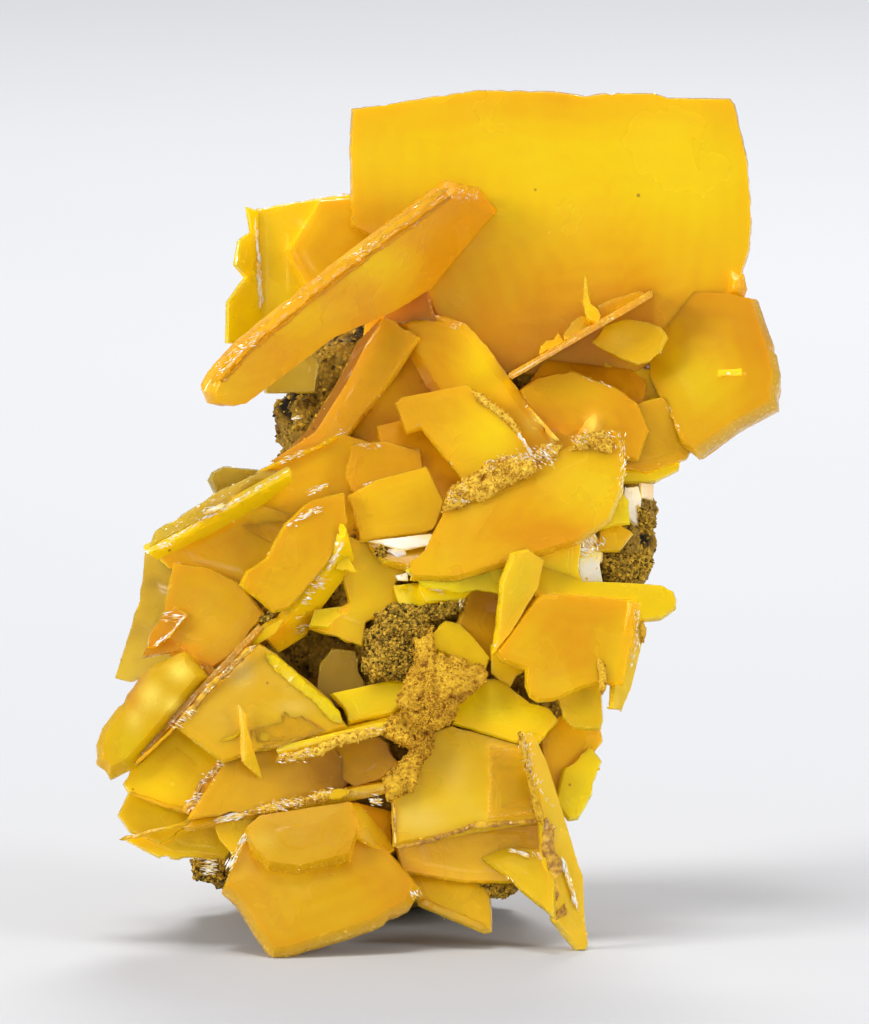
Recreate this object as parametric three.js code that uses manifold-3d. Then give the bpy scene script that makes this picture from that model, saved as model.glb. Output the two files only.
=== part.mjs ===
// A wulfenite specimen: thin, bevelled square tablets of lead molybdate crowded on a lump of
// porous iron-oxide matrix, with sandy crusts along some of the rims.
//
// Millimetres. The crystals are laid out in the specimen's face frame: X to the right, Y back into
// the rock and Z up the face. The whole face then leans back a little, and the specimen rests on
// the points of two tablets in front and on the flat broken foot of its matrix behind.
import * as THREE from "three";
import { mergeVertices } from "three/addons/utils/BufferGeometryUtils.js";
import Module from "manifold-3d";

const wasm = await Module();
wasm.setup();

// ---- driving dimensions ----
const LEAN_DEG = 8; // how far the face leans back from the vertical
const GAP = 0.3; // clearance between neighbouring solids
const WELD = 1e-4; // points nearer than this are one point
const FLOOR_UP = 1.3; // height in the leaned frame at which the points and the foot are worn flat
const CRUST_COLOUR = 0xb98a2c;
const MATRIX_COLOUR = 0x4a3a1e;
const CRYSTAL_COLOUR = 0xf2b414;
const OTHER_COLOURS = [
  [0xf7cf12, ["pointed_plate", "lemon_plate", "heart_plate", "lip_plates", "keel_plate"]],
  [0xf7cf12, ["spike_plates", "right_fan_plates", "left_edge_blade", "hook_plates"]],
  [0xe8c860, ["frosted_plate", "white_plate", "pale_tablet", "facet_plate", "glint_plates"]],
  [0xdc8c1c, ["recess_plate", "nest_plate", "rust_plate", "umber_plate", "amber_plate"]],
  [0xdc8c1c, ["saddle_plates", "leaning_plate", "orange_tablet", "crest_plate"]],
];

// ---- tablets ----

// A tablet that looks towards the front. Its outline is given as [x, z] points of its rim, and its
// plane by the depth y at the middle of the outline and the depth gained per millimetre to the
// right and up the face.
function facing(depth, right, up, thickness, bevel, outline) {
  const middle = (axis) => {
    const values = outline.map((point) => point[axis]);
    return (Math.min(...values) + Math.max(...values)) / 2;
  };
  const [x0, z0] = [middle(0), middle(1)];
  const rim = outline.map(([x, z]) => [x, depth + right * (x - x0) + up * (z - z0), z]);
  return { rim, thickness, bevel };
}

// A tablet seen on edge, given by [x, y, z] points of its rim.
function edgeOn(thickness, bevel, rim) {
  return { rim, thickness, bevel };
}

// The frame of a tablet: its middle, its normal, two directions in its plane, and its flat outline.
function tabletPlane(rim) {
  const points = rim.map((p) => new THREE.Vector3(...p));
  const centre = points.reduce((sum, p) => sum.add(p), new THREE.Vector3());
  centre.divideScalar(points.length);
  const normal = new THREE.Vector3();
  points.forEach((p, i) => {
    const next = points[(i + 1) % points.length];
    normal.add(p.clone().sub(centre).cross(next.clone().sub(centre)));
  });
  normal.normalize();
  const along = points[0].clone().sub(centre).projectOnPlane(normal).normalize();
  const across = normal.clone().cross(along);
  const flat = points.map((p) => {
    const offset = p.clone().sub(centre);
    return new THREE.Vector2(offset.dot(along), offset.dot(across));
  });
  const matrix = new THREE.Matrix4().makeBasis(along, across, normal).setPosition(centre);
  return { shape: new THREE.Shape(flat), matrix };
}

// The closed solid of a tablet: two flat faces, each with a sloping bevel, that meet in an edge.
function tabletSolid({ rim, thickness, bevel }) {
  const { shape, matrix } = tabletPlane(rim);
  const geometry = new THREE.ExtrudeGeometry(shape, {
    depth: 0,
    bevelThickness: thickness / 2,
    bevelSize: bevel,
    bevelOffset: -bevel,
    bevelSegments: 1,
  });
  geometry.applyMatrix4(matrix);
  return toSolid(geometry);
}

// The room that a tablet takes out of its neighbours: its outline and thickness, and the gap.
function tabletRoom({ rim, thickness }) {
  const { shape, matrix } = tabletPlane(rim);
  const geometry = new THREE.ExtrudeGeometry(shape, {
    depth: thickness,
    bevelThickness: GAP,
    bevelSize: 0,
    bevelOffset: GAP,
    bevelSegments: 1,
  });
  geometry.translate(0, 0, -thickness / 2);
  geometry.applyMatrix4(matrix);
  return toSolid(geometry);
}

// ---- solids ----

function toSolid(geometry) {
  const bare = geometry.index ? geometry.toNonIndexed() : geometry.clone();
  bare.deleteAttribute("normal");
  bare.deleteAttribute("uv");
  const merged = mergeVertices(bare, WELD);
  const triangles = [];
  for (let i = 0; i < merged.index.count; i += 3) {
    const [a, b, c] = merged.index.array.slice(i, i + 3);
    if (a !== b && b !== c && c !== a) triangles.push(a, b, c);
  }
  return new wasm.Manifold(
    new wasm.Mesh({
      numProp: 3,
      vertProperties: new Float32Array(merged.attributes.position.array),
      triVerts: new Uint32Array(triangles),
    }),
  );
}

function toGeometry(solid) {
  const { numProp, numVert, vertProperties, triVerts } = solid.getMesh();
  const positions = new Float32Array(numVert * 3);
  for (let i = 0; i < numVert; i++) {
    positions.set(vertProperties.subarray(i * numProp, i * numProp + 3), i * 3);
  }
  const geometry = new THREE.BufferGeometry();
  geometry.setAttribute("position", new THREE.BufferAttribute(positions, 3));
  geometry.setIndex(new THREE.BufferAttribute(new Uint32Array(triVerts), 1));
  return geometry;
}

const join = (solids) => solids.reduce((whole, solid) => whole.add(solid));

// The largest of the separate bodies that a cut leaves.
function largest(solid) {
  return solid.decompose().reduce((best, body) => (body.volume() > best.volume() ? body : best));
}

// Cuts a solid back from every grown neighbour, and keeps its largest piece.
function cutBack(solid, neighbours) {
  const reached = neighbours.filter((other) => solid.intersect(other).volume() > 0);
  return largest(reached.reduce((rest, other) => rest.subtract(other), solid));
}

// ---- the crystals, in the order in which they keep their full shape ----

// Each is named for its place or its shape. Tablets that grow through each other share a name.
const CRYSTALS = {
  long_blade: [
    facing(2.3, 0.85, -0.455, 2.8, 0.7, [
      [-26.9, 65.2], [-26.3, 63.7], [-25, 63.3], [-22.8, 63.5], [-15, 69], [-5.7, 73.8],
      [-1.4, 76.9], [4.6, 84.2], [6.6, 86.3], [4.6, 88.5], [1.2, 89.3], [-4.8, 84.9],
      [-15, 77], [-22.6, 70.8], [-25.9, 67.2],
    ]),
  ],
  top_plate: [
    facing(13.5, 0.04, 0.1, 2.8, 0.45, [
      [-10, 97.7], [-10.3, 93], [-10, 84], [-2.6, 80], [-0.3, 73.6], [1.5, 67], [22, 66.5],
      [34.2, 73.5], [35.2, 78.7], [36, 81.5], [36.3, 85.5], [35.8, 91.5], [34.3, 98.2],
      [33.7, 98.9], [26.5, 99], [25, 99.5], [20, 99.6], [17, 99.2], [13.4, 99.7], [4.5, 99.9],
      [-4.5, 98.5],
    ]),
  ],
  right_plate: [
    facing(10, 0.06, 0.08, 4, 1.1, [
      [25.5, 76.6], [24, 71], [24.6, 66.2], [28.2, 58.6], [29.9, 57.4], [34.4, 60.6],
      [39.1, 63.2], [39.35, 67], [38.8, 69.8], [36.8, 75.5], [35.1, 76.1],
    ]),
  ],
  centre_plate: [
    facing(-1, -0.1, 0.3, 2.4, 0.7, [
      [0.9, 51.6], [-0.7, 47.5], [-1.8, 42.5], [2, 43.2], [8, 45], [16, 47.5], [19.8, 50],
      [21.2, 53.5], [21.6, 57], [20.6, 60.6], [14.6, 58.4], [8, 54.9],
    ]),
  ],
  bottom_plate: [
    facing(-4, 0.02, 0.45, 3.6, 1.1, [
      [-24.8, 7.6], [-23.2, 6.1], [-20, 1.2], [-18.9, 0.1], [-17.3, 0.1], [-7.3, 3.4],
      [-3.3, 5.6], [-2, 8], [-5.4, 12], [-9.5, 18.4], [-21, 16.4], [-22.2, 14.6],
    ]),
    facing(-4.4, 0.02, 0.45, 3.4, 0.5, [
      [-22.2, 14.6], [-21.4, 12], [-19.5, 10.2], [-16, 9.8], [-10, 11.2], [-8.8, 15], [-10, 17.6],
      [-20.6, 16],
    ]),
    facing(-3.4, 0.5, 0.45, 1, 0.25, [
      [-10.6, 18], [-10.2, 14.6], [-8.8, 13.4], [-6, 11.8], [-5, 12.4], [-6.6, 14.8],
      [-9.2, 17.6],
    ]),
  ],
  right_fan_plates: [
    facing(-3.5, 0.1, 0.15, 2.6, 0.8, [
      [11.3, 42.2], [6.3, 34.8], [6.5, 33], [10.1, 32.6], [10.6, 29.6], [12, 29], [18.9, 31.4],
      [21.3, 31], [23, 37], [23.2, 41.2],
    ]),
    facing(-4.3, 0.4, -0.1, 1.6, 0.4, [
      [6.1, 34.8], [8.3, 37.5], [11.3, 42.5], [12, 45.8], [10.2, 47], [8.4, 46.5], [7.1, 43.2],
      [6.7, 38.5],
    ]),
    facing(-2.5, 0.05, 0.9, 1.6, 0.5, [
      [10.5, 45.5], [12, 42], [20, 39.2], [23.8, 38.6], [25.6, 38.8], [27.3, 40], [27.35, 41],
      [27, 42], [25.8, 42.7], [22, 43], [16.5, 43.2],
    ]),
    facing(-3, 1, 0, 1.2, 0.3, [
      [21.5, 41], [21, 38], [20, 33], [19.7, 28.6], [20.9, 28.5], [21.9, 30.8], [23.3, 36.5],
      [23.6, 40.8],
    ]),
    facing(-3.2, 0, 0.15, 1.6, 0.35, [
      [13.6, 30.4], [14.2, 27.5], [15.5, 26.3], [18.6, 26.1], [19, 27.2], [18.7, 32.2],
    ]),
  ],
  spike_plates: [
    facing(-4.6, 0.6, -0.03, 1.8, 0.4, [
      [9.3, 25.9], [10.2, 22], [11.7, 15.5], [12.2, 10], [13.2, 4.2], [15.8, 0.9], [16.6, 0.9],
      [16.9, 1.6], [16.5, 4.5], [16.3, 9.5], [15.7, 11], [14.4, 15.5], [12.2, 22.5], [10.5, 26.3],
    ]),
    facing(-4.5, -0.2, 0.5, 1.6, 0.4, [
      [4.8, 11.3], [7.5, 9.5], [9.9, 7.3], [13.4, 4.5], [13.6, 11.6], [12.6, 12.3], [8, 12.6],
    ]),
  ],
  frosted_plate: [
    facing(-2.5, 0.05, 0.2, 2.2, 0.8, [
      [-20.6, 36.2], [-23.2, 34], [-28, 29], [-30, 26.3], [-24.7, 22.3], [-17.5, 24.3],
      [-10.2, 26.3], [-12.3, 29.6], [-18.6, 34.9],
    ]),
    facing(-4.2, 1.1, 0.1, 0.6, 0.12, [
      [-23.2, 29.3], [-22.6, 24.5], [-21.8, 21.6], [-20.2, 20.7], [-22, 25.2], [-22.6, 26.3],
    ]),
    edgeOn(1.3, 0.4, [
      [-20.2, -2.6, 38.2], [-26.3, -3.2, 32.3], [-34.7, -3.6, 22.2], [-34, 5, 21.6],
      [-24, 5, 31], [-19.6, 5, 36.6],
    ]),
  ],
  left_block: [
    facing(-2, -0.1, 0.15, 4, 1.2, [
      [-33.3, 33.3], [-38.6, 26.3], [-39.2, 24.4], [-39.15, 22.2], [-37.6, 20.4], [-34.8, 21.9],
      [-30.5, 26.8], [-26.1, 32.2], [-29, 35.2],
    ]),
  ],
  white_plate: [
    facing(-3, 0.05, 0.25, 2.4, 0.6, [
      [-5.4, 18.3], [-5.2, 12.8], [0, 13.7], [11.9, 15.6], [10.8, 24], [1.5, 26.6], [-3, 25],
    ]),
  ],
  roof_plate: [
    facing(-1.5, 0, 0.6, 1.4, 0.5, [
      [1.6, 26.8], [9, 24.6], [11.5, 24.5], [13.9, 27.3], [12.7, 29], [6.3, 30.5], [2.5, 29.6],
    ]),
  ],
  knee_plate: [
    facing(-1, 0.15, 0.15, 1.9, 0.6, [
      [-22.8, 42.8], [-18.9, 39.6], [-17.2, 39.9], [-12.5, 45.5], [-10.3, 50], [-10.8, 53.4],
      [-14.5, 52.8], [-17.6, 49.9], [-19.8, 45.9], [-22, 44.4],
    ]),
  ],
  comb_blade: [
    facing(0, 0.75, -0.66, 1.5, 0.35, [
      [-10.8, 49.9], [-13, 45.3], [-16.5, 40.8], [-20, 36.8], [-18.7, 35.2], [-15.5, 37.2],
      [-14, 40], [-11.1, 43.8], [-9.9, 46.2],
    ]),
    facing(-1, 0.3, -0.5, 1, 0.3, [
      [-23.4, 35.4], [-22.5, 35], [-18.7, 37.4], [-17.6, 39.4], [-19.7, 38.5],
    ]),
  ],
  crest_blade: [
    facing(2, 0.4, -0.8, 1.9, 0.5, [
      [-33.8, 47], [-32.5, 46], [-27, 48.6], [-20, 52.5], [-16.7, 55.2], [-17.6, 56.2],
      [-25.8, 53.3], [-27.2, 52.2], [-32.4, 49.1], [-32.5, 47.8],
    ]),
  ],
  square_plate: [
    facing(2.5, 0, 0.2, 1.8, 0.5, [
      [-10.4, 53], [-9, 47.6], [-0.4, 48.7], [0.8, 52.2], [-1.3, 56.5], [-7, 54.9],
    ]),
  ],
  pointed_plate: [
    facing(4, -0.05, 0.2, 1.8, 0.5, [
      [-5.1, 63.6], [-3.6, 60.1], [-1.9, 60.6], [3, 54.5], [10, 55], [11, 57.5], [9.4, 60],
      [3.4, 65.9], [-4.2, 64.4],
    ]),
  ],
  leaning_plate: [
    facing(8.9, -0.3, 0.1, 1.8, 0.3, [
      [-8.5, 73.5], [-10.5, 70], [-15.5, 62.3], [-19.8, 57], [-16, 56.5], [-11, 58.5],
      [-9.8, 60.5], [-5.1, 66.5], [-2, 71.3], [-4.8, 73.1],
    ]),
  ],
  arched_plate: [
    facing(7.7, -0.1, 0.15, 1.8, 0.8, [
      [-4.7, 73.2], [-3.5, 69.5], [0, 63], [6, 56], [13, 56], [14.1, 59.2], [7.6, 67.5],
      [4.4, 71.8], [3.2, 72.6], [-1.3, 73.8],
    ]),
  ],
  thin_shelf: [
    edgeOn(0.8, 0.25, [
      [8.2, 4, 66.7], [16, 3.4, 71.3], [24.6, 5.5, 76.3], [24.8, 13, 76.6], [8.6, 12, 67.1],
    ]),
    facing(7, -0.3, 0, 0.6, 0.15, [
      [17.1, 79], [16.8, 74.5], [18.2, 71], [18.9, 73.3],
    ]),
    facing(8.5, 0.1, 0.3, 0.6, 0.15, [
      [14.9, 71.4], [16, 71], [18.5, 72.5], [17.4, 73.9], [16.2, 73.4],
    ]),
    facing(9, 0.2, -0.6, 0.6, 0.15, [
      [18.3, 75], [18.9, 73], [24.4, 76], [23.2, 76.7], [20.5, 75.9],
    ]),
    facing(8, 0.2, 0.3, 0.6, 0.15, [
      [11.7, 70.2], [11.6, 69], [14, 70.4], [14.5, 71.5], [13, 71.2],
    ]),
  ],
  leaf_tablet: [
    facing(6.4, 0.1, 0.2, 0.9, 0.3, [
      [17, 70.5], [18.5, 69.6], [21, 68.5], [23, 68.1], [25.2, 69], [26.3, 70.6], [24.8, 72.3],
      [22, 73.2], [19.2, 72.4],
    ]),
  ],
  saddle_plates: [
    facing(7, 0, 0.2, 1.8, 0.6, [
      [9.3, 65.1], [13.5, 57.5], [23, 57], [24.3, 60.5], [23, 63.8], [20.4, 65.5], [15.2, 67.5],
      [11.3, 66.6],
    ]),
    facing(9.6, 0.1, 0.6, 1.5, 0.4, [
      [10.4, 66], [12, 60], [23.5, 60], [24, 66], [20.5, 68.9], [16.8, 70], [12, 68.3],
    ]),
  ],
  hook_plates: [
    facing(8, 0.1, 0.1, 1.5, 0.4, [
      [21, 63], [21, 56], [24, 55.6], [28.6, 57.2], [29.4, 58.6], [25.9, 64.6],
    ]),
    facing(8.6, 0.1, 0.3, 1.2, 0.3, [
      [22.6, 59.5], [22.6, 54.6], [25, 54.5], [27.7, 55.9], [28.4, 57.2], [29, 60], [25, 61],
    ]),
  ],
  upper_left_plates: [
    facing(17, 0.1, 0, 1.4, 0.4, [
      [-21, 86.2], [-20.6, 72], [-14, 68], [-5, 72], [-4, 88.4], [-10, 88.1],
    ]),
    facing(15.8, 0.1, 0.05, 1.8, 0.5, [
      [-17.5, 81.2], [-15, 76.6], [-10, 72], [-5, 75], [-5, 88], [-13.8, 87.2],
    ]),
  ],
  left_edge_blade: [
    facing(14.4, 1.1, 0, 1, 0.25, [
      [-22.1, 86.4], [-21.8, 83.6], [-23, 82.5], [-23.5, 79.6], [-22.4, 78.2], [-24.3, 75.4],
      [-24.4, 70.6], [-19.5, 70.4], [-19.8, 74.5], [-20.2, 80], [-20.8, 85.9],
    ]),
  ],
  pale_tablet: [
    facing(9.6, 0.25, 0.1, 1, 0.25, [
      [-20, 64.8], [-14.3, 64.9], [-13.7, 68.2], [-15.2, 70], [-20, 69.5],
    ]),
  ],
  recess_plate: [
    facing(10.8, -0.1, 0.1, 1.6, 0.5, [
      [-9.4, 75.5], [-12, 66], [-9, 58], [4, 57], [5.5, 66], [2, 76.5],
    ]),
  ],
  crest_plate: [
    facing(6.2, 0.05, 0.2, 1.8, 0.5, [
      [-22, 55.2], [-24, 50], [-17, 46], [-8, 46], [-5, 52], [-6, 58.6], [-11, 60.2],
      [-17, 57.6],
    ]),
  ],
  orange_tablet: [
    facing(4.8, 0, 0.2, 1.2, 0.4, [
      [-10, 59], [-10.6, 55.5], [-10.2, 53.4], [-6, 52.6], [-1.6, 55], [-2, 58.2], [-6, 59.3],
    ]),
  ],
  nest_plate: [
    facing(6.4, 0.1, 0.4, 1.6, 0.5, [
      [-7, 61], [-6.5, 52], [1, 50], [12, 56], [4, 62], [-3, 62],
    ]),
  ],
  back_knob: [
    facing(10, 0.1, 0.1, 3, 0.8, [
      [-26.5, 54.8], [-25.8, 53.2], [-19, 52], [-17, 55.4], [-21.8, 56.3], [-24.8, 56.5],
      [-26.1, 55.8],
    ]),
  ],
  slope_plate: [
    facing(4.6, 0.05, 0.1, 1.4, 0.4, [
      [-32.6, 46.4], [-31, 44.6], [-22, 42.6], [-17, 47], [-17, 51], [-22, 52.6],
    ]),
  ],
  rust_plate: [
    facing(1.5, -0.1, 0.1, 1.8, 0.5, [
      [-30.4, 45.4], [-32.4, 36.2], [-28.2, 34.6], [-26.3, 32.8], [-22.5, 35.5], [-19.8, 39.4],
      [-22.9, 43.2], [-26.5, 44.9],
    ]),
  ],
  left_wing: [
    facing(5, -0.5, 0, 1, 0.3, [
      [-33.6, 46.8], [-33.9, 43.2], [-35.2, 38], [-37.1, 32], [-35.3, 31.5], [-29, 34],
      [-26, 40], [-27, 46.5],
    ]),
  ],
  apron_plate: [
    facing(-0.6, 0, 0.2, 2, 0.5, [
      [-36.3, 20], [-35.6, 18.9], [-33, 17.8], [-28.4, 16.4], [-24.4, 22.4], [-30, 27.4],
      [-34.7, 23],
    ]),
  ],
  toe_plates: [
    facing(0.5, 0, 0.2, 1.6, 0.4, [
      [-35.6, 18.9], [-36.8, 16.3], [-35.5, 14.4], [-32, 13], [-27, 15.5], [-30, 18],
    ]),
    facing(1.6, 0.05, 0.1, 1.6, 0.4, [
      [-36.2, 13.5], [-32, 11.4], [-24.6, 10.9], [-22.5, 14.5], [-25, 16.5], [-31, 16],
    ]),
  ],
  lower_shelf: [
    edgeOn(1.3, 0.35, [
      [-29.3, -2.6, 14.9], [-18, -3.2, 17.4], [-5.6, -3, 19.4], [-5.8, 7, 20.8], [-28.6, 7, 16.4],
    ]),
  ],
  upper_shelf: [
    edgeOn(1.2, 0.3, [
      [-18.5, -4.4, 23.7], [-4, -4.4, 27], [-4, 6, 28.6], [-18.5, 6, 25.4],
    ]),
  ],
  niche_plate: [
    facing(0, 0.12, 0.1, 1.8, 0.4, [
      [-24.6, 22.8], [-28.6, 16.8], [-12, 18.5], [-9.6, 21], [-12.8, 25], [-18.5, 25],
    ]),
    edgeOn(0.9, 0.25, [
      [-24.8, -2.4, 22.3], [-28, -2.4, 19.2], [-28.8, -2.2, 16.5], [-28.4, 4, 16.6],
      [-27.4, 4, 19.2], [-24.2, 4, 22],
    ]),
  ],
  amber_plate: [
    facing(0, -0.2, 0.1, 1.6, 0.4, [
      [-13.4, 23.6], [-12, 21.2], [-10, 19.2], [-4.4, 20.2], [-3.6, 23.4], [-6.2, 26.6],
      [-11, 26],
    ]),
  ],
  under_plate: [
    facing(-1.8, 0, 0.05, 2, 0.6, [
      [-4.6, 13.6], [-3.6, 9.4], [4, 8], [12, 8], [12.6, 12], [12.2, 15.4], [4, 16],
    ]),
  ],
  keel_plate: [
    facing(-1, 0.05, 0.35, 2, 0.7, [
      [-3.6, 9.8], [-2.3, 6], [5.3, 2.8], [6.2, 3], [6.3, 4.2], [6, 7.2], [3.5, 10.5],
    ]),
  ],
  cheek_plate: [
    facing(2.7, 0.15, 0.1, 1.5, 0.4, [
      [11.6, 26.4], [12, 21], [16, 21.4], [18.2, 23.8], [18.9, 24.9], [18.6, 26.4], [14.2, 28],
    ]),
  ],
  fin_plate: [
    facing(0.6, -0.35, 0.05, 1.8, 0.6, [
      [17.2, 24.6], [14.2, 21.5], [13.3, 17.8], [14.9, 15.7], [16.1, 15.8], [17.8, 18.8],
      [18, 20.2], [18.9, 22.5],
    ]),
  ],
  heart_plate: [
    facing(2, 0.05, 0.1, 1.6, 0.4, [
      [-10.6, 48.6], [-11.3, 44.5], [-10.3, 40.8], [-15, 37.8], [-8.6, 35.6], [-8.2, 38.4],
      [-4.6, 40.4], [-4.8, 43], [-3.1, 45], [-8.6, 47.8],
    ]),
    facing(1, 0.2, 0.5, 0.9, 0.2, [
      [-14.9, 38], [-12.6, 37.7], [-10.3, 39.7], [-10, 41.1], [-11, 40.3], [-14.4, 39.8],
    ]),
  ],
  lip_plates: [
    facing(0.4, 0, 0.5, 1.3, 0.3, [
      [-5.2, 42.6], [-4.6, 40.4], [-0.6, 39.6], [0.4, 41], [-1.6, 43],
    ]),
    facing(0, 0.1, 0.4, 1.3, 0.3, [
      [-2.6, 43], [-1.4, 40.6], [3, 40.9], [4.6, 42.2], [6.8, 45], [1, 44.6],
    ]),
  ],
  facet_plate: [
    facing(1.8, 0, 0.8, 1.3, 0.3, [
      [-9.2, 48.6], [-6.5, 45.4], [-3, 44.4], [0.6, 46], [0.8, 49.6], [-4, 50.2],
    ]),
  ],
  umber_plate: [
    facing(1.2, 0.4, 0, 1.4, 0.3, [
      [2.2, 38.4], [4.2, 35], [9, 33], [11, 42], [3.4, 42.4],
    ]),
  ],
  dome_plate: [
    facing(-1.4, 0.1, 0.3, 1.6, 0.5, [
      [-0.9, 37.3], [-0.8, 35.4], [2, 34.2], [5.2, 32], [6, 34.4], [4.2, 36.7], [2.6, 38.3],
      [0.8, 38.7],
    ]),
  ],
  olive_tablet: [
    facing(1.4, 0, 0.1, 1.4, 0.4, [
      [-14, 31.8], [-13.9, 29.6], [-12, 28.6], [-8.2, 29.6], [-8.4, 31.6], [-9, 33.4],
      [-9.4, 35.2], [-12.2, 35.5], [-13.6, 33.8],
    ]),
  ],
  lemon_plate: [
    facing(-0.6, 0, 0.4, 1.6, 0.4, [
      [-12.4, 30.2], [-10.7, 28.3], [-10.3, 26.8], [-5.4, 27.8], [-2.2, 30.4], [-4.4, 32],
    ]),
  ],
  glint_plates: [
    facing(4, 0.8, 0.1, 1.2, 0.25, [
      [21.3, 54.2], [20.4, 51.2], [20.4, 49], [23, 49.2], [23.4, 52], [24.8, 52.6], [24.9, 54.4],
      [22.9, 54.9],
    ]),
    facing(1.2, 0.7, 0.2, 1.2, 0.25, [
      [15.6, 48.6], [16, 45.4], [16.6, 42.6], [19, 42.8], [18.9, 46.4], [21.6, 49.4],
      [21, 51], [17, 50.4],
    ]),
  ],
  // The side that is turned away.
  rear_crown_plates: [
    facing(21, -0.25, 0.35, 2.2, 0.6, [
      [0, 66], [20, 62], [29, 70], [27, 82], [10, 86], [-4, 76],
    ]),
    facing(22, 0.5, -0.4, 1.6, 0.4, [
      [-8, 62], [6, 60], [10, 70], [2, 79], [-8, 74],
    ]),
  ],
  rear_left_plates: [
    facing(24, -0.8, 0.2, 1.8, 0.5, [
      [-24, 50], [-22, 32], [-12, 30], [-9, 48], [-13, 55], [-20, 55],
    ]),
    facing(25, 0.9, 0.5, 1.4, 0.4, [
      [-21, 58], [-20, 47], [-10, 44], [-6, 52], [-12, 60],
    ]),
  ],
  rear_right_plates: [
    facing(24, 0.8, -0.1, 2, 0.6, [
      [6, 50], [4, 30], [14, 24], [19, 34], [20, 48], [12, 54],
    ]),
    facing(25, -0.7, 0.6, 1.6, 0.4, [
      [2, 48], [4, 36], [15, 34], [19, 44], [11, 52],
    ]),
  ],
  rear_low_plates: [
    facing(26, 0.1, -0.5, 1.8, 0.5, [
      [-14, 34], [-16, 18], [-2, 14], [10, 20], [8, 32], [-3, 38],
    ]),
    facing(24, 0.6, 0.7, 1.6, 0.5, [
      [-24, 26], [-20, 14], [-8, 16], [-9, 27], [-16, 31],
    ]),
  ],
};

// ---- matrix ----

// The lump of rock, as rings up the face: height, and how far it reaches left, right, to the
// front and to the back there.
const ROCK_RINGS = [
  [2, -16, -10, 25, 29],
  [5, -21, -5, 19, 33],
  [7, -23, 9, 9, 33],
  [9, -27.5, 10.5, 5, 32],
  [12, -28.6, 12.4, 3, 30.5],
  [16, -29.4, 14, 2, 29],
  [22, -30, 16.5, 1.5, 27],
  [32, -28, 19.5, 2.5, 26],
  [42, -27, 23, 3.5, 26],
  [48, -25, 25.2, 4.5, 25.5],
  [53, -22, 24.4, 6, 25.5],
  [58, -18.4, 22.6, 8.5, 26],
  [63, -19.2, 19, 10.5, 26],
  [69, -15.4, 16, 11.5, 25],
  [74, -6, 13, 14.5, 24],
  [78, 2, 8, 17, 21],
];
const ROCK_SQUARENESS = 0.6; // power that flattens the sides of each ring; 1 gives an ellipse
const ROCK_ROWS = 20;
const ROCK_COLUMNS = 26;
const ROCK_ROUGHNESS = 0.8;
const ROCK_PITCH = 2.1;
const BREAK_ROUGHNESS = 1.3; // the coarse steps of the broken back
const BREAK_PITCH = 4.4;

// Knobs on the front of the rock, and hollows where the height is negative: x, z, height, radius.
const ROCK_KNOBS = [
  [-4.6, 36, 3.4, 3.6],
  [-14, 35, -4.5, 4.5],
  [-12, 41.5, -2.5, 3],
  [22.5, 47, 4.5, 4.5],
  [-17.5, 61, 3, 4],
  [-12.5, 69, 3, 3.5],
  [-26, 10.5, 2.5, 3],
  [9.5, 31, -3, 2.5],
];

// A repeatable wave field that roughens the rock and the crusts.
function wave(x, y, z, pitch) {
  return (
    Math.sin((x * 1.3 + y * 0.7) / pitch + 1.7) * Math.cos((z * 1.1 - x * 0.4) / pitch) +
    0.6 * Math.sin((z * 2.3 + y * 1.9) / pitch + 0.6) * Math.cos((x * 2.1 - y) / pitch)
  );
}

// The reach of the rock at one height, between the two nearest rings.
function ringAt(height) {
  const above = ROCK_RINGS.findIndex((ring, i) => i > 0 && ring[0] >= height);
  const [low, high] = [ROCK_RINGS[above - 1], ROCK_RINGS[above]];
  const share = (height - low[0]) / (high[0] - low[0]);
  return low.map((value, i) => value + (high[i] - value) * share);
}

// One point of the rock's skin: a rounded square ring, pushed by its knobs and by the waves.
function rockPoint(height, angle) {
  const [, left, right, front, back] = ringAt(height);
  const [c, s] = [Math.cos(angle), Math.sin(angle)];
  const bend = (value) => Math.sign(value) * Math.abs(value) ** ROCK_SQUARENESS;
  const x = (left + right) / 2 + ((right - left) / 2) * bend(c);
  const y = (front + back) / 2 - ((back - front) / 2) * bend(s);
  const facingFront = Math.max(0, s);
  const facingBack = Math.max(0, -s);
  const push =
    ROCK_ROUGHNESS * wave(x, y, height, ROCK_PITCH) +
    BREAK_ROUGHNESS * facingBack * wave(x, y, height, BREAK_PITCH);
  const knobs = ROCK_KNOBS.reduce((sum, [kx, kz, rise, radius]) => {
    const distance = Math.hypot(x - kx, height - kz) / radius;
    return sum + rise * Math.exp(-distance * distance);
  }, 0);
  return [x + push * c, y - push * s - knobs * facingFront, height];
}

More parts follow.
